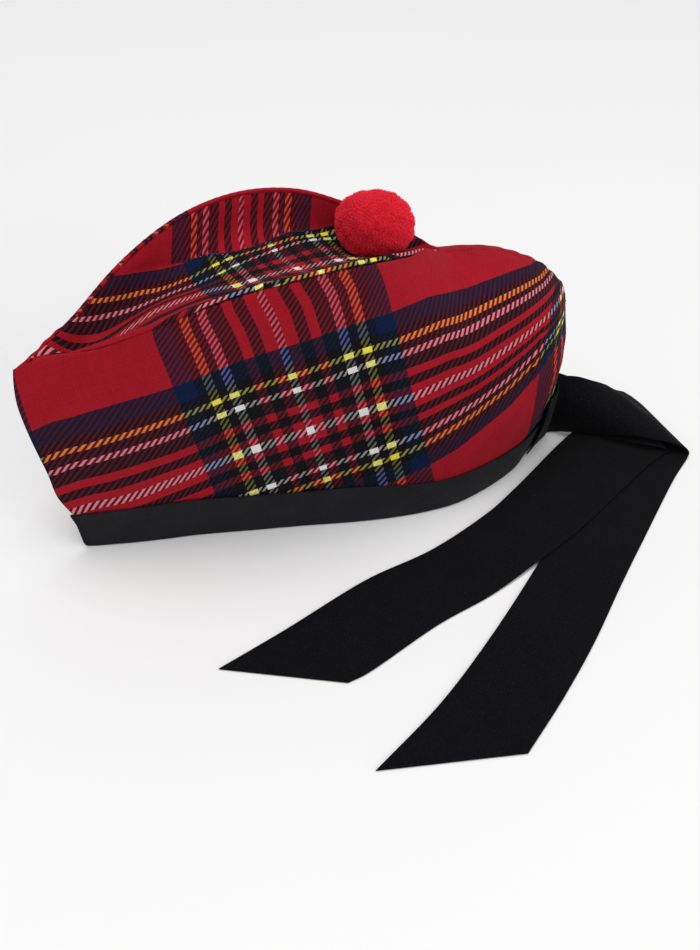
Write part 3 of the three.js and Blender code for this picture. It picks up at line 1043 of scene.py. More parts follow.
SECTIONS: tuple[Section, ...] = (
    Section(1.5, 0.0, -14.0, 0.0, -22.5, 0.0, -21.5, 0.0, 109.5, 21.8),
    Section(12.5, 2.6, -3.0, 5.0, -11.0, 5.0, -8.0, 4.5, 115.5, 23.2),
    Section(28.0, 6.4, 14.0, 11.5, 5.0, 13.3, 7.0, 13.8, 121.0, 24.8),
    Section(53.0, 11.4, 44.0, 20.5, 36.0, 27.0, 36.0, 29.6, 135.3, 26.4),
    Section(80.0, 18.6, 75.0, 28.5, 71.0, 37.5, 71.5, 41.0, 150.0, 25.4),
    Section(105.0, 25.2, 102.5, 34.5, 100.0, 42.5, 100.0, 45.3, 155.6, 24.6),
    Section(130.0, 32.4, 129.5, 39.0, 128.5, 40.8, 128.0, 40.0, 155.2, 24.4),
    Section(152.0, 37.2, 152.0, 42.0, 151.5, 38.5, 151.0, 28.5, 149.0, 22.0),
    Section(170.0, 39.2, 171.0, 43.3, 172.0, 36.5, 172.0, 13.0, 139.2, 20.0),
    Section(185.0, 38.9, 187.5, 43.0, 189.5, 35.0, 190.0, 0.0, 127.9, 19.8),
    Section(200.0, 35.2, 204.5, 41.0, 206.0, 33.5, 206.0, 0.0, 125.3, 20.2),
    Section(215.0, 29.6, 221.5, 37.2, 223.5, 31.2, 222.0, 0.0, 121.7, 20.4),
    Section(229.0, 22.4, 236.5, 30.8, 239.0, 27.0, 238.5, 0.0, 114.4, 20.4),
    Section(242.0, 11.8, 248.6, 22.4, 252.0, 20.0, 252.8, 0.0, 105.2, 20.4),
    Section(252.5, 4.8, 256.4, 12.8, 259.6, 12.0, 261.8, 0.0, 95.2, 20.4),
    Section(260.5, 0.0, 260.0, 0.0, 263.2, 0.0, 266.0, 0.0, 84.0, 20.4),
)


@dataclass(frozen=True)
class ValleyRow:
    """Knee and foot of the pressed crown at a section: shares of its half width and drops below the ridge."""

    knee_share: float
    knee_drop: float
    foot_share: float
    foot_drop: float


VALLEY: tuple[ValleyRow, ...] = (
    ValleyRow(-0.1, 0.5, 0.3, 1.0),
    ValleyRow(-0.25, 1.5, 0.3, 2.0),
    ValleyRow(-0.4, 8.0, 0.45, 11.0),
    ValleyRow(-0.35, 12.5, 0.62, 17.5),
    ValleyRow(-0.3, 16.0, 0.7, 21.0),
    ValleyRow(-0.3, 16.5, 0.74, 21.0),
    ValleyRow(-0.28, 16.0, 0.74, 19.8),
    ValleyRow(-0.3, 13.5, 0.66, 16.5),
    ValleyRow(-0.3, 7.5, 0.45, 9.0),
    ValleyRow(-0.2, 0.5, 0.3, 1.0),
)


class Line(Enum):
    """The four lengthwise lines that shape a side panel."""

    RIM = "rim"
    BELLY = "belly"
    SHOULDER = "shoulder"
    TOP = "top"


class Side(Enum):
    """The wearer's left and right."""

    LEFT = "left"
    RIGHT = "right"


@dataclass(frozen=True)
class CapForm:
    """The cap's shape, which all its sewn pieces share.

    A station is a place along the cap, counted in sections from the front.

    Attributes:
        rim_middle: Distance of the rim's middle from the front foot, where x is 0.
        belly_share: Height of the belly line as a share of the top's height.
        shoulder_share: Height of the shoulder line as a share of the top's height.
        ridge_blend: Half width over which the back dome turns into a sewn ridge.
        tip_half: Half width at which the crown piece ends.
        roll_halves: Half widths between which the rolls along the ridges grow.
        lean_stations: Stations between which the rolls start to lean with the sides.
        least_inside: Least share of its size that a leaning roll lies inside its ridge.
        far_rise: How far the far ridge stands above the near one where it is pulled up.
        far_at: Station where it stands highest.
        far_reach: Stations over which it comes down again.
        near_sag: How far the near ridge sags where the cloth is slack.
        near_at: Station where it sags most.
        near_reach: Stations over which it comes up again.
        drop_halves: Half widths between which the side panels make room for the rolls.
        station_step: Step along the sections for slopes.
        tip_stretch: Stretch of fine steps at the crown's ends, counted in sections.
    """

    rim_middle: float = 131.0
    belly_share: float = 0.42
    shoulder_share: float = 0.80
    ridge_blend: float = 13.0
    tip_half: float = 0.4
    roll_halves: Span = (5.0, 20.0)
    lean_stations: Span = (5.5, 6.5)
    least_inside: float = 0.05
    far_rise: float = 2.4
    far_at: float = 3.4
    far_reach: float = 0.9
    near_sag: float = 3.0
    near_at: float = 6.2
    near_reach: float = 1.9
    drop_halves: Span = (8.0, 20.0)
    station_step: float = 0.02
    tip_stretch: float = 0.1

    @property
    def last(self) -> int:
        """Number of the last section."""
        return len(SECTIONS) - 1

    def line(self, line: Line) -> Grid:
        """One lengthwise line on the left side.

        Args:
            line: Which line it is.

        Returns:
            A point for each section.
        """
        x, half = f"{line.value}_x", f"{line.value}_half"
        shares = dict(zip(Line, (0.0, self.belly_share, self.shoulder_share, 1.0)))
        return np.array([
            (getattr(s, x) - self.rim_middle, -getattr(s, half), shares[line] * s.top_z) for s in SECTIONS
        ])

    def profiles(self, stations: Grid) -> tuple[Grid, Grid]:
        """Corner points of the left side's profiles, and the points that lead their ends.

        Args:
            stations: Stations along the cap.

        Returns:
            Four points for each station, and one leading point for each.
        """
        corners = np.stack([smooth(self.line(line), stations) for line in Line], axis=1)
        corners[..., 1] = np.minimum(corners[..., 1], 0)
        shoulder, top = corners[:, 2], corners[:, 3]
        sharp = np.clip(-top[:, 1] / self.ridge_blend, 0, 1)[:, None]
        across = shoulder * [1, -1, 1]
        straight = 2 * top - shoulder
        return corners, across + (straight - across) * sharp

    def share_at(self, profile: Grid, after: Grid, height: float) -> float:
        """Share of the way up a profile at which it reaches a height near the rim."""
        shares = np.linspace(0, 0.5, 201)
        return float(np.interp(height, smooth(profile, 3 * shares, after)[:, 2], shares))

    def side(self, stations: Grid, shares: Grid, foot: float, drops: Grid) -> tuple[Grid, Grid]:
        """Outer face of the left side.

        Args:
            stations: Stations along the cap.
            shares: Places from the foot to the upper edge, from 0 to 1.
            foot: Height at which the cloth starts.
            drops: How far the upper edge stays below the ridge at each station.

        Returns:
            The points, stations by shares, and the share of the way up from the rim of each.
        """
        rows, ups = [], []
        # The upper edge lies in the last fifth of the way up
        trial = np.linspace(0.8, 1, 60)
        for profile, after, drop in zip(*self.profiles(stations), drops):
            start = self.share_at(profile, after, foot)
            travel = arc(smooth(profile, 3 * trial, after), 0)
            stop = np.interp(travel[-1] - drop, travel, trial)
            up = start + (stop - start) * shares
            rows.append(smooth(profile, 3 * up, after))
            ups.append(up)
        grid = np.array(rows)
        grid[..., 1] = np.minimum(grid[..., 1], 0)
        return grid, np.array(ups)

    def level(self, stations: Grid, heights: Grid) -> Grid:
        """Points of the left side's outer face near the rim.

        Args:
            stations: Stations along the cap.
            heights: Height of the point at each station.

        Returns:
            The points.
        """
        points = []
        for profile, after, height in zip(*self.profiles(stations), heights):
            share = self.share_at(profile, after, height)
            points.append(smooth(profile, [3 * share], after)[0])
        curve = np.array(points)
        curve[:, 1] = np.minimum(curve[:, 1], 0)
        curve[:, 2] = heights
        return curve

    def band_tops(self, stations: Grid) -> Grid:
        """Height of the rim band's outer leg at each station."""
        return smooth(np.array([[s.band_top] for s in SECTIONS]), stations)[:, 0]

    def ridge(self, stations: Grid) -> tuple[Grid, Grid]:
        """The left ridge.

        Args:
            stations: Stations along the ridge.

        Returns:
            Its points, and the level directions from them to the inside of the crown.
        """
        end = len(VALLEY) - 1
        top = self.line(Line.TOP)
        ahead = smooth(top, np.minimum(stations + self.station_step, end))
        behind = smooth(top, np.maximum(stations - self.station_step, 0))
        along = ahead - behind
        inward = unit(np.column_stack([-along[:, 1], along[:, 0], np.zeros(len(along))]))
        return smooth(top, stations), inward

    def roll_share(self, stations: Grid) -> Grid:
        """Share of its full size that the roll along a ridge has, none where the crown ends."""
        return eased(-smooth(self.line(Line.TOP), stations)[:, 1], *self.roll_halves)

    def room(self, stations: Grid) -> Grid:
        """Share of the room for a roll that the side panels leave below the ridge."""
        return eased(-smooth(self.line(Line.TOP), stations)[:, 1], *self.drop_halves)

    def lift(self, side: Side, stations: Grid) -> Grid:
        """Height of one side's ridge above the even one.

        Args:
            side: Which ridge it is.
            stations: Stations along the cap.

        Returns:
            A height for each station, below 0 where the ridge sags.
        """
        if side is Side.RIGHT:
            return self.far_rise * bell(stations - self.far_at, self.far_reach)
        return -self.near_sag * bell(stations - self.near_at, self.near_reach) * self.roll_share(stations)

    def seat(self, stations: Grid) -> tuple[Grid, Grid]:
        """How far a roll lies inside and below its ridge, for each millimetre of its size.

        Args:
            stations: Stations along the ridge.

        Returns:
            The distances inside and below, both 1 where the side stands upright.
        """
        corners, after = self.profiles(stations)
        _, inward = self.ridge(stations)
        rise = after - corners[:, 2]
        lean = unit(np.column_stack([(rise * inward).sum(axis=1), rise[:, 2]]))
        inside = np.maximum(lean[:, 1] - lean[:, 0], self.least_inside)
        below = lean[:, 1] + lean[:, 0]
        share = eased(stations, *self.lean_stations)
        return 1 + (inside - 1) * share, 1 + (below - 1) * share

    def crown_edges(self, stations: Grid, insets: Span) -> tuple[Grid, Grid]:
        """Left and right edges of the crown piece.

        Args:
            stations: Stations along the ridge.
            insets: Distances of the edges from the ridge, left and right.

        Returns:
            The left and the right edge's points.
        """
        ridge, inward = self.ridge(stations)
        inward = inward * self.seat(stations)[0][:, None]
        return ridge + inward * insets[0], (ridge + inward * insets[1]) * [1, -1, 1]

    def crown(self, rows: int, shares: Grid, insets: Span, sink: float) -> Grid:
        """Upper face of the crown piece with its pressed valley.

        Args:
            rows: Number of cuts along it.
            shares: Places across it, from 0 on the left to 3 on the right, the knee at 1 and the foot at 2.
            insets: Distances of its edges from the ridge, left and right.
            sink: How far its edges lie below the ridges, inside the rolls.

        Returns:
            The points, rows by shares.
        """
        trial = np.arange(0, len(VALLEY) - 1, self.station_step)
        left, right = self.crown_edges(trial, insets)
        wide = trial[(left[:, 1] < -self.tip_half) & (right[:, 1] > self.tip_half)]
        stations = graded(wide[0], wide[-1], rows, self.tip_stretch)
        left, right = self.crown_edges(stations, insets)
        middle = (left + right) / 2
        sunk = sink * self.roll_share(stations) * self.seat(stations)[1]
        left[:, 2] += self.lift(Side.LEFT, stations) - sunk
        right[:, 2] += self.lift(Side.RIGHT, stations) - sunk
        half = (right[:, 1] - left[:, 1]) / 2
        table = np.array([astuple(row) for row in VALLEY])
        knee_share, knee_drop, foot_share, foot_drop = smooth(table, stations).T
        zero = np.zeros(len(stations))
        knee = middle + np.column_stack([zero, knee_share * half, -knee_drop])
        foot = middle + np.column_stack([zero, foot_share * half, -foot_drop])
        cuts = np.stack([left, knee, foot, right], axis=1)
        return np.array([smooth(cut, shares) for cut in cuts])


@dataclass
class SubAssembly(ABC):
    """One dressed piece of the cap.

    Attributes:
        node: The solid that it stands for.
        slot: Its material slot in the record; not used.
        finish: What it is made of.
        form: The cap's shape.
    """

    node: str
    slot: str
    finish: Finish
    form: CapForm

    @abstractmethod
    def cut(self) -> Mesh:
        """Shape of the piece."""

    def declare(self, piece: bpy.types.Object) -> None:
        """Does nothing to the placed piece."""

    def place(self) -> bpy.types.Object:
        """Build the piece, dress it and fix it to the cap.

        Returns:
            The finished object.
        """
        name = f"{self.node}_cloth"
        mesh = self.cut().to_blender(name)
        mesh.materials.append(self.finish.material())
        piece = bpy.data.objects.new(name, mesh)
        bpy.context.scene.collection.objects.link(piece)
        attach(piece, BODY)
        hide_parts(self.node)
        self.declare(piece)
        LOG.info("%s: %d points, %d faces", name, len(mesh.vertices), len(mesh.polygons))
        return piece


@dataclass
class SidePanel(SubAssembly):
    """Side of the cap from the rim to the sewn ridge.

    Attributes:
        side: Which side it is.
        drops: How far the left and the right upper edge stay below the ridge, under the crown's rolls.
        wall: Thickness of the cloth.
        foot: Height of its lower edge.
        seam_gap: Gap to the other side at the middle plane.
        swell: How far the cloth bulges forward above the band's front.
        swell_at: Height of that bulge.
        swell_reach: Half height of that bulge.
        swell_fade: Distance from the front over which it fades.
        lift_reach: Distance from the ridge over which the cloth follows its rise.
        ripples: Soft waves of the cloth.
        calm_foot: Distances from the foot between which the waves grow.
        calm_seam: Distance from the front and back seams over which they grow.
        pucker: Height of the gathers along the ridge.
        pucker_length: Length of one gather.
        pucker_sway: How uneven the gathers are, and the length over which that changes.
        pucker_reach: How far the gathers reach from the ridge.
        pucker_seam: Distance from the front and back seams over which they grow.
        strip_ups: Shares of the way up at which the strips of the flat cloth are measured.
        ease: Rows of the cloth's way along the panel: distance from the front, height of the block's
            middle, stretch of the sett above and below it, and lean of its cross stripes.
        lean_reach: Heights from the block's middle between which the cross stripes lean.
        lean_below: Share of that lean which they keep farther down.
        ridge_pull: How far the cross stripes are pulled forward at the ridge.
        pull_reach: Heights from the block's middle between which they are pulled.
        course: Rows of the distance from the front and the place along the tartan there.
        second: Rows of the height from the block's middle and the distance from the front at which
            the next block starts there.
        second_edge: Place along the tartan where the next block starts.
        second_lead: How far ahead of the next block the cloth follows its edge.
        line_hold: How strongly the pale lines keep their width where the sett is drawn together.
        line_most: Largest share of its narrowing that a line makes up for.
        line_reach: Distance from a pale line over which the cloth beside it gives way.
        steps_along: Steps along it, with the stretch in sections.
        steps_up: Steps up it, with the stretch as a share.
    """

    finish: TartanFinish
    side: Side
    drops: Span = (3.0, 3.7)
    wall: float = 2.0
    foot: float = 1.8
    seam_gap: float = 0.3
    swell: float = 2.0
    swell_at: float = 34.0
    swell_reach: float = 11.0
    swell_fade: float = 14.0
    lift_reach: float = 16.0
    ripples: tuple[Ripple, ...] = (
        Ripple(95.0, 15.0, 0.45, 0.4),
        Ripple(61.0, -35.0, 0.35, 2.1),
        Ripple(38.0, 60.0, 0.18, 4.0),
    )
    calm_foot: Span = (6.0, 40.0)
    calm_seam: float = 25.0
    pucker: float = 0.3
    pucker_length: float = 9.0
    pucker_sway: Span = (0.7, 17.0)
    pucker_reach: float = 9.0
    pucker_seam: float = 15.0
    strip_ups: Span = (0.2, 0.75)
    ease: tuple[tuple[float, float, float, float, float], ...] = (
        (0.0, -4.8, 0.99, 1.03, 0.055),
        (16.0, -3.5, 1.04, 1.05, 0.055),
        (31.0, -2.4, 1.07, 1.05, 0.055),
        (49.0, -1.7, 1.065, 1.05, 0.055),
        (72.0, -2.6, 1.07, 1.05, 0.05),
        (97.0, -3.5, 1.07, 1.05, 0.02),
        (124.0, -3.2, 1.02, 1.0, 0.025),
        (151.0, -3.0, 0.95, 0.91, 0.04),
        (178.0, -2.4, 0.86, 0.79, 0.05),
        (205.0, 0.8, 0.79, 0.70, 0.05),
        (230.0, 0.6, 0.72, 0.61, 0.0),
        (251.0, 1.0, 0.615, 0.46, 0.0),
        (261.0, 1.4, 0.565, 0.37, 0.0),
        (280.0, 2.4, 0.475, 0.33, 0.0),
        (320.0, 3.0, 0.43, 0.30, 0.0),
    )
    lean_reach: Span = (-17.0, 60.0)
    lean_below: float = 0.2
    ridge_pull: float = 2.6
    pull_reach: Span = (68.0, 92.0)
    course: tuple[Span, ...] = (
        (-50.0, -174.0),
        (150.0, 26.0),
        (200.0, 74.0),
        (300.0, 118.0),
        (340.0, 120.0),
    )
    second: tuple[Span, ...] = (
        (-70.0, 243.0),
        (-55.0, 245.3),
        (-42.0, 247.3),
        (-28.6, 251.9),
        (-16.0, 253.9),
        (-11.0, 259.5),
        (1.5, 273.7),
        (9.5, 294.0),
        (20.0, 316.0),
        (60.0, 360.0),
    )
    second_edge: float = 124.5
    second_lead: float = 5.0
    line_hold: float = 1.8
    line_most: float = 0.6
    line_reach: float = 3.2
    steps_along: Steps = (210, 0.12)
    steps_up: Steps = (88, 0.014)

    def unrolled(self, grid: Grid, ups: Grid) -> tuple[Grid, Grid]:
        """Flat places of the panel's points, its strips laid down one after another.

        Args:
            grid: Points of the outer face.
            ups: Share of the way up of each point.

        Returns:
            Distance from the front and height on the flat cloth.
        """
        rise = arc(grid, 1)
        low, high = (read_rows(up, ups, rise) for up in self.strip_ups)
        lines = []
        for up in self.strip_ups:
            lines.append(np.column_stack([read_rows(up, ups, grid[..., k]) for k in range(3)]))
        steps = [np.linalg.norm(np.diff(line, axis=0), axis=1) for line in lines]
        bottom = np.zeros((len(grid), 2))
        heading = np.zeros((len(grid), 2))
        heading[0] = (0.0, 1.0)
        for i in range(1, len(grid)):
            side = np.array([heading[i - 1, 1], -heading[i - 1, 0]])
            p = bottom[i - 1] + side * steps[0][i - 1]
            q = bottom[i - 1] + heading[i - 1] * (high[i - 1] - low[i - 1]) + side * steps[1][i - 1]
            heading[i] = unit(q - p)
            bottom[i] = (p + q) / 2 - heading[i] * (high[i] - low[i]) / 2
        flat = bottom[:, None] + heading[:, None] * (rise - low[:, None])[..., None]
        return flat[..., 0], flat[..., 1]

    def cloth_places(self, grid: Grid, ups: Grid) -> Grid:
        """Places of the panel's points in the tartan.

        Args:
            grid: Points of the outer face.
            ups: Share of the way up of each point.

        Returns:
            The places along and across from the middle of the block, and the steps in the twill.
        """
        distance, height = self.unrolled(grid, ups)
        offset = height - lookup(distance, self.ease, 1)
        stretch = np.where(offset > 0, lookup(distance, self.ease, 2), lookup(distance, self.ease, 3))
        low, high = self.lean_reach
        leaning = np.clip(offset, low, high) + self.lean_below * np.minimum(offset - low, 0)
        upright = distance - lookup(distance, self.ease, 4) * leaning
        upright = upright + self.ridge_pull * eased(offset, *self.pull_reach)
        late = distance - lookup(offset, self.second, 1)
        along = np.where(late > -self.second_lead, self.second_edge + late, lookup(upright, self.course, 1))
        across = offset / stretch
        hold = np.clip(self.line_hold * (1 - stretch), 0, self.line_most)
        away = [across - line for line in PALE_LINES]
        given = sum(d * bell(d, self.line_reach) for d in away)
        return np.stack([along, across - hold * given, self.finish.twill(distance, height)], -1)

    def cut(self) -> Mesh:
        """Cloth wall with soft waves and gathers along its ridge."""
        stations = graded(0.0, self.form.last, *self.steps_along)
        shares = graded(0.0, 1.0, *self.steps_up)
        drops = self.drops[self.side is Side.RIGHT] * self.form.room(stations)
        grid, ups = self.form.side(stations, shares, self.foot, drops)
        cloth = self.cloth_places(grid, ups)
        up, along = arc(grid, 1), arc(grid, 0)
        to_top = up[:, -1:] - up
        to_seam = np.minimum(along, along[-1:] - along)
        edge = np.minimum(np.minimum(up, to_top), to_seam)
        swelling = bell(grid[..., 2] - self.swell_at, self.swell_reach) * np.exp(-along / self.swell_fade)
        grid[..., 0] -= self.swell * swelling
        lift = self.form.lift(self.side, stations)[:, None]
        grid[..., 2] += lift * (1 - eased(to_top, 0, self.lift_reach))
        calm = eased(up, *self.calm_foot) * eased(to_seam, 0, self.calm_seam)
        relief = sum(ripple.rise(cloth[..., 0], cloth[..., 1]) for ripple in self.ripples) * calm
        ridge = along[:, -1:]
        sway, sway_length = self.pucker_sway
        gathers = np.sin(ridge * 2 * math.pi / self.pucker_length + sway * np.sin(ridge / sway_length))
        gathered = bell(to_top, self.pucker_reach) * eased(to_seam, 0, self.pucker_seam)
        relief = relief + self.pucker * gathers * gathered
        outer = grid + grid_normals(grid) * relief[..., None]
        sheet = ClothWall(outer, self.wall, edge, cloth)
        return sheet.mesh(self.side is Side.RIGHT, self.seam_gap / 2)


@dataclass
class CrownPanel(SubAssembly):
    """Crown between the two ridges, pressed into a valley.

    Attributes:
        insets: Distances of its edges from the ridges, left and right.
        sink: How far its edges lie below the ridges, inside the rolls.
        wall: Thickness of the cloth.
        ripples: Soft waves of the cloth.
        tuck: Depth of the crease at the foot of the far wall.
        tuck_reach: Half width of that crease.
        floor_lines: Rows of the cloth in the valley: place along the cap, distances from the knee of
            the tartan's middle line, white line and yellow line and of the crease, and the place across
            the tartan that the crease takes in.
        line_halves: Half widths of these three lines.
        floor_block: Middle and scale of the tartan block along the valley.
        wall_start: Place across the tartan above the crease.
        wall_block: Rows of the far wall: distance above the crease, and middle and scale of its block.
        front: Distance ahead of the block's middle where the gathered cloth starts.
        gather: Length of a millimetre of the gathered cloth.
        rolls: Radii of the rolls along the near and the far ridge.
        roll_gap: Distance that a roll keeps below and inside its ridge.
        roll_least: Share of its size at which a roll ends.
        roll_face: Angles of a roll's seam and of its inner edge, from outward to upward, in degrees.
        roll_pucker: Height of the gathers along a roll as a share of its radius.
        roll_gather: Length of one gather.
        near_cloth: Rows of the near roll: place along the cap, place across the tartan at its seam, and
            width of cloth that it takes in.
        far_cloth: Rows of the far roll: place along the cap and along the tartan.
        far_across: Place across the tartan of the far roll.
        half_line: Half the width of a pale line in the tartan.
        beyond: How far the tartan is read past the outer lines.
        crease_width: Width over which the cloth jumps at the crease.
        calm: Distance from its edges over which the waves grow.
        rows: Number of even cuts along it.
        steps_across: Steps across it, with the stretch in shares.
        roll_steps: Number of rings of a roll.
        roll_turn: Angle between the points of a ring in degrees.
    """

    finish: TartanFinish
    insets: Span = (2.2, 2.2)
    sink: float = 1.2
    wall: float = 2.0
    ripples: tuple[Ripple, ...] = (
        Ripple(44.0, 20.0, 0.35, 1.0),
        Ripple(27.0, -50.0, 0.25, 3.0),
    )
    tuck: float = 0.8
    tuck_reach: float = 2.6
    floor_lines: tuple[tuple[float, float, float, float, float, float], ...] = (
        (-120.0, 4.0, 25.4, 34.0, 47.0, 56.0),
        (-110.0, 5.0, 26.4, 34.4, 47.0, 56.0),
        (-100.0, 9.0, 27.6, 34.8, 46.8, 56.0),
        (-85.0, 15.9, 28.4, 35.4, 45.8, 55.8),
        (-74.0, 16.2, 27.6, 33.8, 44.2, 55.4),
        (-62.0, 11.0, 25.0, 32.4, 43.4, 54.0),
        (-50.0, 1.6, 24.4, 34.8, 44.3, 46.0),
        (-40.0, 0.6, 26.5, 36.8, 42.1, 41.5),
        (-25.0, -1.0, 30.2, 36.2, 41.4, 42.0),
        (-9.0, -1.0, 32.4, 37.4, 42.8, 46.0),
        (1.0, -1.0, 32.4, 36.4, 40.0, 43.5),
        (13.0, -1.0, 30.5, 34.8, 37.5, 41.0),
        (60.0, -1.0, 28.0, 34.8, 37.5, 41.0),
    )
    line_halves: Triple = (2.3, 1.4, 1.4)
    floor_block: Span = (-21.0, 0.78)
    wall_start: float = 56.0
    wall_block: tuple[Triple, ...] = (
        (0.0, -33.7, 0.66),
        (24.0, -28.6, 0.656),
    )
    front: float = 54.0
    gather: float = 1.4
    rolls: Span = (1.3, 1.3)
    roll_gap: float = 0.3
    roll_least: float = 0.12
    roll_face: Span = (-40.0, 120.0)
    roll_pucker: float = 0.03
    roll_gather: float = 4.2
    near_cloth: tuple[Triple, ...] = (
        (-130.0, -7.0, 3.5),
        (-110.0, -6.5, 3.5),
        (-95.0, -7.0, 4.0),
        (-85.0, -12.0, 4.5),
        (-74.0, -30.0, 6.0),
        (-50.0, -30.0, 6.0),
        (-36.0, -39.0, 6.0),
        (14.0, -39.0, 6.0),
        (24.0, -30.0, 6.0),
        (60.0, -30.0, 6.0),
    )
    far_cloth: tuple[Span, ...] = (
        (-130.0, -53.0),
        (-93.5, 0.0),
        (-74.8, 27.0),
        (-69.0, 36.0),
        (-60.5, 48.5),
        (-50.0, 62.0),
        (60.0, 112.0),
    )
    far_across: float = 62.0
    half_line: float = 2.0
    beyond: float = 60.0
    crease_width: float = 0.4
    calm: float = 14.0
    rows: int = 220
    steps_across: Steps = (130, 0.12)
    roll_steps: int = 300
    roll_turn: int = 18

    def along_tartan(self, x: Grid, middle: Grid, scale: Grid) -> Grid:
        """Places along the tartan.

        Args:
            x: Places along the cap.
            middle: Middle of the tartan block there.
            scale: Length of a millimetre of the cloth there.

        Returns:
            The places from the block's middle, drawn together in front.
        """
        ahead = x - middle
        gathered = -self.front / scale + (ahead + self.front) / self.gather
        return np.where(ahead > -self.front, ahead / scale, gathered)

    def tartan_places(self, x: Grid, height: Grid) -> Grid:
        """Places of the crown's points in the tartan.

        Args:
            x: Places along the cap, one for each row.
            height: Distances from the knee, rows by columns.

        Returns:
            The places along and across from the middle of the block, and the steps in the twill.
        """
        lines = (0.0, *PALE_LINES[2:])
        across = []
        for place, row in zip(x, height):
            *seen, crease, taken = (float(lookup(place, self.floor_lines, k)) for k in range(1, 6))
            stops = [seen[0] - self.beyond]
            values = [-self.beyond]
            for stop, half, value in zip(seen, self.line_halves, lines):
                stops += [stop - half, stop + half]
                values += [value - self.half_line, value + self.half_line]
            stops += [crease, crease + self.crease_width, crease + self.beyond]
            values += [taken, self.wall_start, self.wall_start + self.beyond]
            across.append(np.interp(row, stops, values))
        above = height - lookup(x, self.floor_lines, 4)[:, None]
        on_floor = above < self.crease_width / 2
        floor_middle, floor_scale = self.floor_block
        middle = np.where(on_floor, floor_middle, lookup(above, self.wall_block, 1))
        scale = np.where(on_floor, floor_scale, lookup(above, self.wall_block, 2))
        along = self.along_tartan(x[:, None], middle, scale)
        twill = self.finish.twill(x[:, None] / floor_scale, height)
        return np.stack([along, np.array(across), twill], -1)

    def welt(self, side: Side) -> Mesh:
        """Roll of gathered cloth along a ridge, over the seam with the side panel.

        Args:
            side: Which ridge it runs along.

        Returns:
            The roll as a closed tube.
        """
        trial = np.arange(0, len(VALLEY) - 1, self.form.station_step)
        wide = trial[self.form.roll_share(trial) > self.roll_least]
        stations = np.linspace(wide[0], wide[-1], self.roll_steps)
        ridge, inward = self.form.ridge(stations)
        gathers = np.sin(arc(ridge, 0) * 2 * math.pi / self.roll_gather)
        size = self.rolls[side is Side.RIGHT] * self.form.roll_share(stations)
        inside, below = (((size + self.roll_gap) * share)[:, None] for share in self.form.seat(stations))
        centre = ridge + inward * inside - below * [0, 0, 1]
        turns = np.radians(np.arange(-180, 180, self.roll_turn))[None, :, None]
        out = -inward[:, None] * np.cos(turns) + np.array([0, 0, 1]) * np.sin(turns)
        rings = centre[:, None] + out * (size * (1 + self.roll_pucker * gathers))[:, None, None]
        rings = rings + self.form.lift(side, stations)[:, None, None] * [0, 0, 1]
        low, high = self.roll_face
        face = np.clip((np.degrees(turns[..., 0]) - low) / (high - low), 0, 1)
        x = ridge[:, :1]
        if side is Side.LEFT:
            across = lookup(x, self.near_cloth, 1) + lookup(x, self.near_cloth, 2) * face
            along = self.along_tartan(x, *self.floor_block) + 0 * across
        else:
            across = self.far_across + 2 * math.pi * size[:, None] * face
            along = lookup(x, self.far_cloth, 1) + 0 * across
            rings = rings * [1, -1, 1]
        rows, columns = across.shape
        index = np.arange(rows * columns).reshape(rows, columns)
        after = np.roll(index, -1, axis=1)
        sides = np.stack([index[:-1], index[1:], after[1:], after[:-1]], -1).reshape(-1, 4)
        ends = np.stack([index[0], index[-1, ::-1]])
        faces = [sides, ends] if side is Side.LEFT else [sides[:, ::-1], ends[:, ::-1]]
        twill = self.finish.twill(x / self.floor_block[1], size[:, None] * turns[..., 0])
        cloth = np.stack([along, across, twill], -1).reshape(-1, 3)
        return Mesh(rings.reshape(-1, 3), faces, cloth, np.zeros(rows * columns))

    def cut(self) -> Mesh:
        """Pressed cloth with a roll along each ridge."""
        shares = np.unique(np.concatenate([graded(0.0, 3.0, *self.steps_across), [1.0, 2.0]]))
        grid = self.form.crown(self.rows, shares, self.insets, self.sink)
        across, along = arc(grid, 1), arc(grid, 0)
        knee = int(np.argmin(np.abs(shares - 1.0)))
        height = across - across[:, knee:knee + 1]
        x = grid[:, 0, 0]
        cloth = self.tartan_places(x, height)
        width = across[:, -1:]
        to_tip = np.minimum(along, along[-1:] - along)
        edge = np.minimum(np.minimum(across, width - across), to_tip)
        relief = sum(ripple.rise(grid[..., 0], grid[..., 1]) for ripple in self.ripples)
        above = height - lookup(x, self.floor_lines, 4)[:, None]
        relief = relief - self.tuck * bell(above, self.tuck_reach)
        outer = grid + grid_normals(grid) * (relief * eased(edge, 0, self.calm))[..., None]
        piece = ClothWall(outer, self.wall, edge, cloth).mesh()
        for side in Side:
            piece = piece.joined(self.welt(side))
        return piece


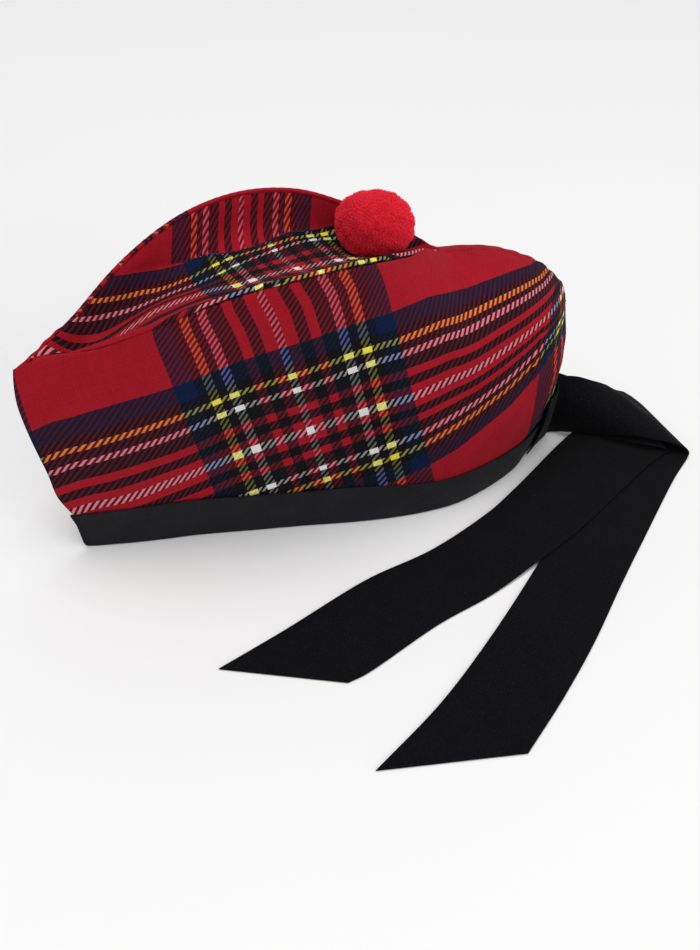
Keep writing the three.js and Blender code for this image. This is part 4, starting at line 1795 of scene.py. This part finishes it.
@dataclass
class RimBand(SubAssembly):
    """Ribbon folded over the cloth's lower edge, all the way round the rim.

    Attributes:
        wall: Thickness of the ribbon.
        inside: Height of its inner leg.
        cloth_wall: Thickness of the cloth that it holds.
        outer_gap: Gap between the cloth and the outer leg.
        inner_gap: Gap between the cloth and the inner leg.
        tip_extra: How much farther its front and back corners reach than its sides.
        tip_blend: Length over which it turns into a corner.
        toe: How far its lower edge stands forward at the front.
        toe_height: Height below which it stands forward.
        toe_round: How far that edge is rounded off.
        toe_edge: Height below which it is rounded off.
        wave: Height of the soft waves along it.
        wave_length: Length of a wave for each radian.
        wave_top: Distance from its upper edge over which the waves grow.
        wave_foot: Distances from its upper edge between which they die down.
        steps_along: Steps along it, with the stretch in sections.
        steps_down: Steps down its outer leg, with the stretch as a share.
        steps_up: Steps up its inner leg.
        fold_steps: Number of steps round its fold.
    """

    wall: float = 1.2
    inside: float = 14.0
    cloth_wall: float = 2.0
    outer_gap: float = 0.6
    inner_gap: float = 0.7
    tip_extra: float = 0.2
    tip_blend: float = 5.0
    toe: float = 2.8
    toe_height: float = 15.0
    toe_round: float = 1.2
    toe_edge: float = 4.0
    wave: float = 0.25
    wave_length: float = 11.0
    wave_top: float = 8.0
    wave_foot: Span = (9.0, 17.0)
    steps_along: Steps = (190, 0.5)
    steps_down: Steps = (22, 0.07)
    steps_up: Steps = (10, 1.4)
    fold_steps: int = 8

    def plan_normals(self, curve: Grid) -> Grid:
        """Outward directions in plan along a left-side curve."""
        along = np.gradient(curve, axis=0)
        return unit(np.column_stack([along[:, 1], -along[:, 0], np.zeros(len(along))]))

    def outset(self, curve: Grid, distance: float) -> Grid:
        """Left-side curve moved outward in plan, with its ends drawn out to soft corners.

        Args:
            curve: Points of the curve.
            distance: How far it is moved.

        Returns:
            The moved points.
        """
        normals = self.plan_normals(curve)
        travel = arc(curve, 0)
        front = np.exp(-travel / self.tip_blend)[:, None]
        back = np.exp(-(travel[-1] - travel) / self.tip_blend)[:, None]
        ahead = np.array([distance + self.tip_extra, 0.0, 0.0])
        moved = curve + distance * normals * (1 - front - back) + ahead * (back - front)
        low = np.clip(1 - curve[:, 2:] / self.toe_height, 0, 1)
        lowest = np.clip(1 - curve[:, 2:] / self.toe_edge, 0, 1)
        moved[:, :1] += (self.toe_round * lowest**2 - self.toe * low) * front
        moved[[0, -1], 1] = 0.0
        return moved

    def inset(self, curve: Grid, distance: float) -> Grid:
        """Left-side curve moved inward in plan, cut at the middle plane and spread evenly again.

        Args:
            curve: Points of the curve.
            distance: How far it is moved.

        Returns:
            As many points on the moved curve.
        """
        moved = curve - distance * self.plan_normals(curve)
        inside = np.flatnonzero(moved[:, 1] < 0)
        first, last = inside[0], inside[-1]
        kept = moved[first:last + 1]
        kept = np.vstack([kept[0] * [1, 0, 1], kept, kept[-1] * [1, 0, 1]])
        travel = arc(kept, 0)
        places = np.linspace(0, travel[-1], len(curve))
        return np.column_stack([np.interp(places, travel, kept[:, k]) for k in range(3)])

    def cut(self) -> Mesh:
        """Ribbon wall that runs down the outside, under the cloth and up the inside."""
        stations = graded(0.0, self.form.last, *self.steps_along)
        outer = self.outer_gap + self.wall
        inner = self.cloth_wall + self.inner_gap + self.wall
        tops = self.form.band_tops(stations) - self.wall
        heights = [self.wall + tops * share for share in graded(0.0, 1.0, *self.steps_down)[::-1]]
        rises = [np.full(len(stations), h) for h in graded(self.wall, self.inside, *self.steps_up)]
        down = [self.outset(self.form.level(stations, h), outer) for h in heights]
        up = [self.inset(self.form.level(stations, h), inner) for h in rises]
        under = []
        for share in np.linspace(0, 1, self.fold_steps + 1)[1:-1]:
            line = down[-1] + (up[0] - down[-1]) * (0.5 - 0.5 * math.cos(math.pi * share))
            line[:, 2] = self.wall * (1 - math.sin(math.pi * share) ** 0.5)
            under.append(line)
        left = np.stack(down + under + up, axis=1)
        right = left[-2:0:-1] * [1, -1, 1]
        ring = np.concatenate([left, right])
        across = arc(ring, 1)
        edge = np.minimum(across, across[:, -1:] - across)
        along = arc(ring, 0)[:, :1] + 0 * across
        cloth = np.stack([along, across, 0 * across], -1)
        calm = eased(across, 0, self.wave_top) * (1 - eased(across, *self.wave_foot))
        waves = self.wave * np.sin(along / self.wave_length) * calm
        outer_face = ring + grid_normals(ring, True) * waves[..., None]
        outer_face, edge, cloth = (part[:, ::-1] for part in (outer_face, edge, cloth))
        return ClothWall(outer_face, self.wall, edge, cloth, closed=True).mesh()


@dataclass
class Toorie(SubAssembly):
    """Pompom of cut wool on the crown.

    Attributes:
        centre: Its middle.
        radius: Half its width.
        rise: Half its height.
        fullness: Power of its outline, 2 for a ball and more for a squarer one.
        locks: Number of locks that the wool gathers into.
        lock_angle: Half the spread of a lock in radians.
        lock_depth: Depth of the dips between locks as a share of the radius.
        core: Size of the solid heart under the pile, as a share of the radius.
        core_splits: Number of times that the heart's faces are split.
        painted_core_shade: Painted shade of the heart for the finish, as it lies deep under the pile.
        fibres: Number of cut yarn ends.
        fibre_width: Width of a yarn end at its root.
        tip_width: Width at its tip as a share of that at its root.
        rooted: How deep it starts in the heart, as a share of the radius.
        scatter: How unevenly the yarn ends are spread.
        lean: How far they lean away from straight out.
        lengths: Shortest and longest of them, as shares of the even length.
        painted_root_shade: Painted shade at their roots for the finish, with 1 at their tips.
        shade_spread: How far their shades differ.
        seed: Start of the random draws.
    """

    centre: Triple = (24.5, 3.5, 146.2)
    radius: float = 18.3
    rise: float = 14.7
    fullness: float = 2.4
    locks: int = 64
    lock_angle: float = 0.3
    lock_depth: float = 0.06
    core: float = 0.94
    core_splits: int = 6
    painted_core_shade: float = 0.35
    fibres: int = 20000
    fibre_width: float = 0.3
    tip_width: float = 0.7
    rooted: float = 0.03
    scatter: float = 0.02
    lean: float = 0.22
    lengths: Span = (0.985, 1.035)
    painted_root_shade: float = 0.25
    shade_spread: float = 0.12
    seed: int = 11

    def spread(self, count: int) -> Grid:
        """Directions spread evenly over a ball.

        Args:
            count: Number of directions.

        Returns:
            A unit vector for each.
        """
        index = np.arange(count)
        z = 1 - (2 * index + 1) / count
        turn = index * math.pi * (3 - math.sqrt(5))
        flat = np.sqrt(1 - z * z)
        return np.column_stack([flat * np.cos(turn), flat * np.sin(turn), z])

    def reach(self, directions: Grid) -> Grid:
        """Distance of the wool's outside from the middle.

        Args:
            directions: Unit vectors from the middle.

        Returns:
            A distance for each direction, as a share of the radius.
        """
        nearest = np.arccos(np.clip((directions @ self.spread(self.locks).T).max(axis=1), -1, 1))
        away = np.minimum(nearest / self.lock_angle, 1)
        outline = (np.abs(directions) ** self.fullness).sum(axis=1) ** (-1 / self.fullness)
        return outline * (1 - self.lock_depth * away * away)

    def scale(self) -> Grid:
        """Half sizes of the pompom along the three axes."""
        return np.array([self.radius, self.radius, self.rise])

    def heart(self) -> Mesh:
        """Ball of matted wool under the cut ends.

        Returns:
            The ball as a closed mesh.
        """
        ball = bmesh.new()
        bmesh.ops.create_icosphere(ball, subdivisions=self.core_splits, radius=1.0)
        points = unit(np.array([v.co[:] for v in ball.verts]))
        faces = np.array([[v.index for v in f.verts] for f in ball.faces])
        ball.free()
        vertices = points * (self.reach(points) * self.core)[:, None] * self.scale() + self.centre
        # The heart lies deep under the pile and carries painted shade
        return Mesh(vertices, [faces], vertices, np.full(len(vertices), self.painted_core_shade))

    def pile(self) -> Mesh:
        """Cut yarn ends that stand out of the heart.

        Returns:
            A closed three-sided stem for each.
        """
        draw = np.random.default_rng(self.seed)
        directions = unit(self.spread(self.fibres) + draw.normal(0, self.scatter, (self.fibres, 3)))
        lean = unit(directions + draw.normal(0, self.lean, (self.fibres, 3)))
        length = self.reach(directions) * draw.uniform(*self.lengths, self.fibres)
        side = unit(np.cross(lean, draw.normal(0, 1, (self.fibres, 3))))
        other = np.cross(lean, side)
        rings = []
        for height, width in ((self.core - self.rooted, 1.0), (1.0, self.tip_width)):
            middle = directions * self.core + lean * (height - self.core)
            middle = middle * length[:, None] * self.scale()
            for corner in range(3):
                angle = corner * 2 * math.pi / 3
                offset = side * math.cos(angle) + other * math.sin(angle)
                rings.append(middle + offset * (self.fibre_width * width / 2))
        points = np.stack(rings, axis=1) + np.array(self.centre)
        base = (np.arange(self.fibres) * 6)[:, None]
        quads = []
        for corner in range(3):
            after = (corner + 1) % 3
            quads.append(base + [corner, after, 3 + after, 3 + corner])
        tips = base + [3, 4, 5]
        roots = base + [2, 1, 0]
        # Painted shade: dark at each yarn end's root deep in the pile and full at its tip, with a random tone
        # for each end
        shade = np.tile([self.painted_root_shade] * 3 + [1.0] * 3, self.fibres)
        shade = np.clip(shade + np.repeat(draw.normal(0, self.shade_spread, self.fibres), 6), 0, 1)
        vertices = points.reshape(-1, 3)
        return Mesh(vertices, [np.concatenate(quads), np.concatenate([tips, roots])], vertices, shade)

    def cut(self) -> Mesh:
        """Heart and pile as one piece."""
        return self.heart().joined(self.pile())


@dataclass(frozen=True)
class TailRow:
    """One cut across a ribbon tail: its low and high edge, and how far it bulges between them."""

    low_x: float
    low_y: float
    low_z: float
    high_x: float
    high_y: float
    high_z: float
    bulge: float


# Ribbon end sewn on the left of the back, which comes over the fold and then lies underneath
TAIL_LOWER: tuple[TailRow, ...] = (
    TailRow(241.4, -16.3, 0.8, 246.8, -25.1, 40.0, 1.6),
    TailRow(248.1, -11.3, 0.8, 253.4, -19.7, 39.5, 1.6),
    TailRow(254.1, -7.4, 0.8, 258.7, -13.7, 39.0, 1.6),
    TailRow(258.6, -4.7, 0.8, 261.8, -7.3, 38.5, 1.6),
    TailRow(263.4, -2.2, 0.8, 265.0, -2.4, 38.0, 1.0),
    TailRow(272.0, -8.5, 3.0, 277.0, -3.0, 35.5, 5.0),
    TailRow(283.0, -20.5, 6.5, 288.0, -4.5, 30.0, 7.0),
    TailRow(296.0, -34.0, 9.5, 300.0, -5.0, 22.5, 5.0),
    TailRow(308.0, -44.0, 10.0, 309.5, -5.0, 17.0, 2.0),
    TailRow(317.0, -49.5, 8.0, 315.5, -5.5, 13.0, 1.0),
    TailRow(322.6, -52.5, 4.4, 319.0, -6.5, 7.4, 0.0),
    TailRow(320.5, -54.8, 1.0, 314.0, -7.5, 1.4, 0.0),
    TailRow(302.2, -68.3, 0.7, 293.0, -22.0, 0.7, 0.0),
    TailRow(264.5, -99.9, 0.7, 240.0, -66.0, 0.7, 0.0),
    TailRow(232.0, -127.4, 0.7, 201.0, -99.5, 0.7, 0.0),
    TailRow(197.6, -157.4, 0.7, 157.0, -134.5, 0.7, 0.0),
    TailRow(167.1, -181.4, 0.7, 116.2, -163.4, 0.7, 0.0),
    TailRow(137.5, -202.5, 0.7, 75.2, -186.4, 0.7, 0.0),
)

# Ribbon end sewn on the right of the back, folded inside the other one and lying on top of it
TAIL_UPPER: tuple[TailRow, ...] = (
    TailRow(241.4, 16.3, 0.8, 246.8, 25.1, 40.0, -1.6),
    TailRow(248.1, 11.3, 0.8, 253.4, 19.7, 39.5, -1.6),
    TailRow(254.1, 7.4, 0.8, 258.7, 13.7, 39.0, -1.6),
    TailRow(259.8, 5.0, 0.8, 262.6, 8.3, 38.5, -1.4),
    TailRow(265.4, 1.8, 0.8, 267.6, 4.4, 36.5, 1.0),
    TailRow(271.0, -4.4, 1.2, 276.0, 1.4, 32.6, 4.0),
    TailRow(281.0, -16.5, 3.2, 286.0, 0.4, 25.6, 4.0),
    TailRow(292.0, -30.5, 5.4, 296.0, -1.2, 17.6, 2.5),
    TailRow(302.0, -41.0, 6.6, 303.5, -2.5, 12.6, 0.5),
    TailRow(309.0, -45.5, 6.0, 308.0, -3.0, 9.6, 0.0),
    TailRow(312.0, -47.0, 4.4, 311.0, -4.0, 6.4, 0.0),
    TailRow(309.0, -48.0, 2.7, 307.0, -5.0, 3.3, 0.0),
    TailRow(293.0, -54.5, 2.5, 277.5, -8.0, 2.3, 0.0),
    TailRow(236.0, -84.5, 2.4, 220.5, -42.0, 2.2, 0.0),
    TailRow(201.0, -99.5, 2.3, 194.0, -56.2, 1.6, 0.0),
    TailRow(169.0, -111.0, 0.9, 156.5, -69.8, 0.7, 0.0),
    TailRow(136.0, -119.5, 0.7, 117.0, -78.0, 0.7, 0.0),
    TailRow(97.0, -134.0, 0.7, 70.0, -94.8, 0.7, 0.0),
    TailRow(83.5, -137.0, 0.7, 33.0, -107.0, 0.7, 0.0),
)


@dataclass
class RibbonTail(SubAssembly):
    """One end of the binding ribbon, which leaves the back on edge, folds and lies on the floor.

    Attributes:
        rows: Cuts across it from the cap to its end.
        area: Flat area of the ribbon in square metres; not used.
        rests_on: What it lies on; not used.
        wrinkle: Height of the wrinkles where it is bunched at the fold.
        bunch: Distances from its start between which it is bunched.
        bunch_fade: Length over which the wrinkles grow and die down.
        ripples: Waves that make up the wrinkles.
        wall: Thickness of the ribbon.
        width: Width of the ribbon; not used.
        length: Length of the ribbon before it was cut aslant; not used.
        steps_along: Steps along it, with the stretch in rows.
        steps_across: Steps across it, with the stretch as a share.
    """

    rows: tuple[TailRow, ...]
    area: float
    rests_on: tuple[str, ...] = ()
    wrinkle: float = 0.0
    bunch: Span = (26.0, 92.0)
    bunch_fade: float = 20.0
    ripples: tuple[Ripple, ...] = (
        Ripple(17.0, 62.0, 0.6, 0.5),
        Ripple(29.0, -38.0, 0.4, 2.0),
    )
    wall: float = 0.8
    width: float = 40.0
    length: float = 386.0
    steps_along: Steps = (330, 0.05)
    steps_across: Steps = (34, 0.03)

    def cut(self) -> Mesh:
        """Ribbon wall between its low and its high edge."""
        table = np.array([astuple(row) for row in self.rows])
        lines = smooth(table, graded(0.0, len(self.rows) - 1.0, *self.steps_along))
        shares = graded(0.0, 1.0, *self.steps_across)[None, :, None]
        low = lines[:, None, 0:3] - [self.form.rim_middle, 0, 0]
        high = lines[:, None, 3:6] - [self.form.rim_middle, 0, 0]
        flat = low + (high - low) * shares
        lift = 4 * shares * (1 - shares) * lines[:, None, 6:7]
        across, along = arc(flat, 1), arc(flat, 0)
        start, stop = self.bunch
        bunched = eased(along, start, start + self.bunch_fade)
        bunched = bunched * (1 - eased(along, stop - self.bunch_fade, stop))
        folds = 1 + sum(ripple.rise(along, across) for ripple in self.ripples)
        lift = lift + (self.wrinkle * bunched * folds)[..., None]
        middle = flat + grid_normals(flat) * lift
        outer = middle + grid_normals(middle) * (self.wall / 2)
        across, along = arc(middle, 1), arc(middle, 0)
        to_end = np.minimum(along, along[-1:] - along)
        edge = np.minimum(np.minimum(across, across[:, -1:] - across), to_end)
        cloth = np.stack([along, across, 0 * across], -1)
        return ClothWall(outer, self.wall, edge, cloth).mesh()

    def declare(self, piece: bpy.types.Object) -> None:
        """Does nothing to the placed ribbon."""


@dataclass(frozen=True)
class SoftLight:
    """Square lamp that shines on a point.

    Attributes:
        name: Name of the lamp.
        place: Where it hangs, in metres.
        size: Length of its side in metres.
        power: Power in watts.
    """

    name: str
    place: Triple
    size: float
    power: float

    def hang(self, target: Triple) -> None:
        """Hang the lamp.

        Args:
            target: The point that it faces.
        """
        data = bpy.data.lights.new(self.name, "AREA")
        data.shape = "SQUARE"
        data.size = self.size
        data.energy = self.power
        lamp = bpy.data.objects.new(self.name, data)
        lamp.location = self.place
        away = np.array(self.place) - np.array(target)
        lamp.rotation_euler = (
            math.atan2(math.hypot(away[0], away[1]), away[2]),
            0.0,
            math.atan2(away[0], -away[1]),
        )
        bpy.context.scene.collection.objects.link(lamp)


@dataclass
class Studio:
    """Pale floor, soft light and the camera.

    Attributes:
        floor_half: Half the floor's width in metres.
        eye: Place of the camera in metres.
        tilt: Turn of the camera up from looking straight down, in degrees.
        turn: Turn of the camera about the upright, in degrees.
        focal: Focal length in picture heights.
        sensor: Long side of the sensor.
        ambient: Strength of the light from all round.
        lamps: The soft lamps.
        target: What the lamps face, in metres.
    """

    floor_half: float = 6.0
    eye: Triple = (-0.1885, -0.4779, 0.3938)
    tilt: float = 53.0
    turn: float = -22.6
    focal: float = 1200.0 / 950.0
    sensor: float = 36.0
    ambient: float = 0.55
    lamps: tuple[SoftLight, ...] = (
        SoftLight("key", (-0.3, -0.2, 3.4), 2.2, 66.0),
        SoftLight("fill", (0.7, -2.2, 1.0), 1.8, 22.0),
    )
    target: Triple = (0.0, -0.03, 0.08)

    def lay_floor(self) -> None:
        """Wide pale floor, which isn't part of the cap."""
        half = self.floor_half
        mesh = bpy.data.meshes.new("floor")
        corners = [(-half, -half, 0.0), (half, -half, 0.0), (half, half, 0.0), (-half, half, 0.0)]
        mesh.from_pydata(corners, [], [(0, 1, 2, 3)])
        mesh.materials.append(FLOOR.material())
        floor = bpy.data.objects.new("floor", mesh)
        bpy.context.scene.collection.objects.link(floor)

    def set_camera(self) -> None:
        """Camera at the viewing angle."""
        data = bpy.data.cameras.new("camera")
        data.sensor_width = self.sensor
        data.lens = self.sensor * self.focal
        camera = bpy.data.objects.new("camera", data)
        camera.location = self.eye
        camera.rotation_euler = (math.radians(self.tilt), 0.0, math.radians(self.turn))
        bpy.context.scene.collection.objects.link(camera)
        bpy.context.scene.camera = camera

    def light(self) -> None:
        """Even light from all round and the soft lamps."""
        world = bpy.data.worlds.new("studio")
        world.use_nodes = True
        back = world.node_tree.nodes["Background"]
        back.inputs["Color"].default_value = (1.0, 1.0, 1.0, 1.0)
        back.inputs["Strength"].default_value = self.ambient
        bpy.context.scene.world = world
        bpy.context.scene.view_settings.view_transform = "Standard"
        for lamp in self.lamps:
            lamp.hang(self.target)

    def build(self) -> None:
        """Set up the whole studio."""
        self.lay_floor()
        self.set_camera()
        self.light()
        LOG.info("studio: floor, camera and %d lamps", len(self.lamps))


def main() -> None:
    """Build the studio and the cap's pieces in order."""
    logging.basicConfig(level=logging.INFO, format="%(name)s: %(message)s")
    Studio().build()
    form = CapForm()
    pieces: list[SubAssembly] = [
        SidePanel("side_panel_left", "tartan_side", SIDE_TARTAN, form, Side.LEFT),
        SidePanel("side_panel_right", "tartan_side", SIDE_TARTAN, form, Side.RIGHT),
        CrownPanel("top_panel", "tartan_crown", CROWN_TARTAN, form),
        RimBand("rim_band", "binding", BINDING, form),
        Toorie("toorie", "wool", POMPOM_WOOL, form),
        RibbonTail("ribbon_tail_lower", "ribbon", RIBBON, form, TAIL_LOWER, 0.0152, wrinkle=0.7),
        RibbonTail("ribbon_tail_upper", "ribbon", RIBBON, form, TAIL_UPPER, 0.0153, ("ribbon_tail_lower",)),
    ]
    for piece in pieces:
        piece.place()


if __name__ == "__main__":
    main()
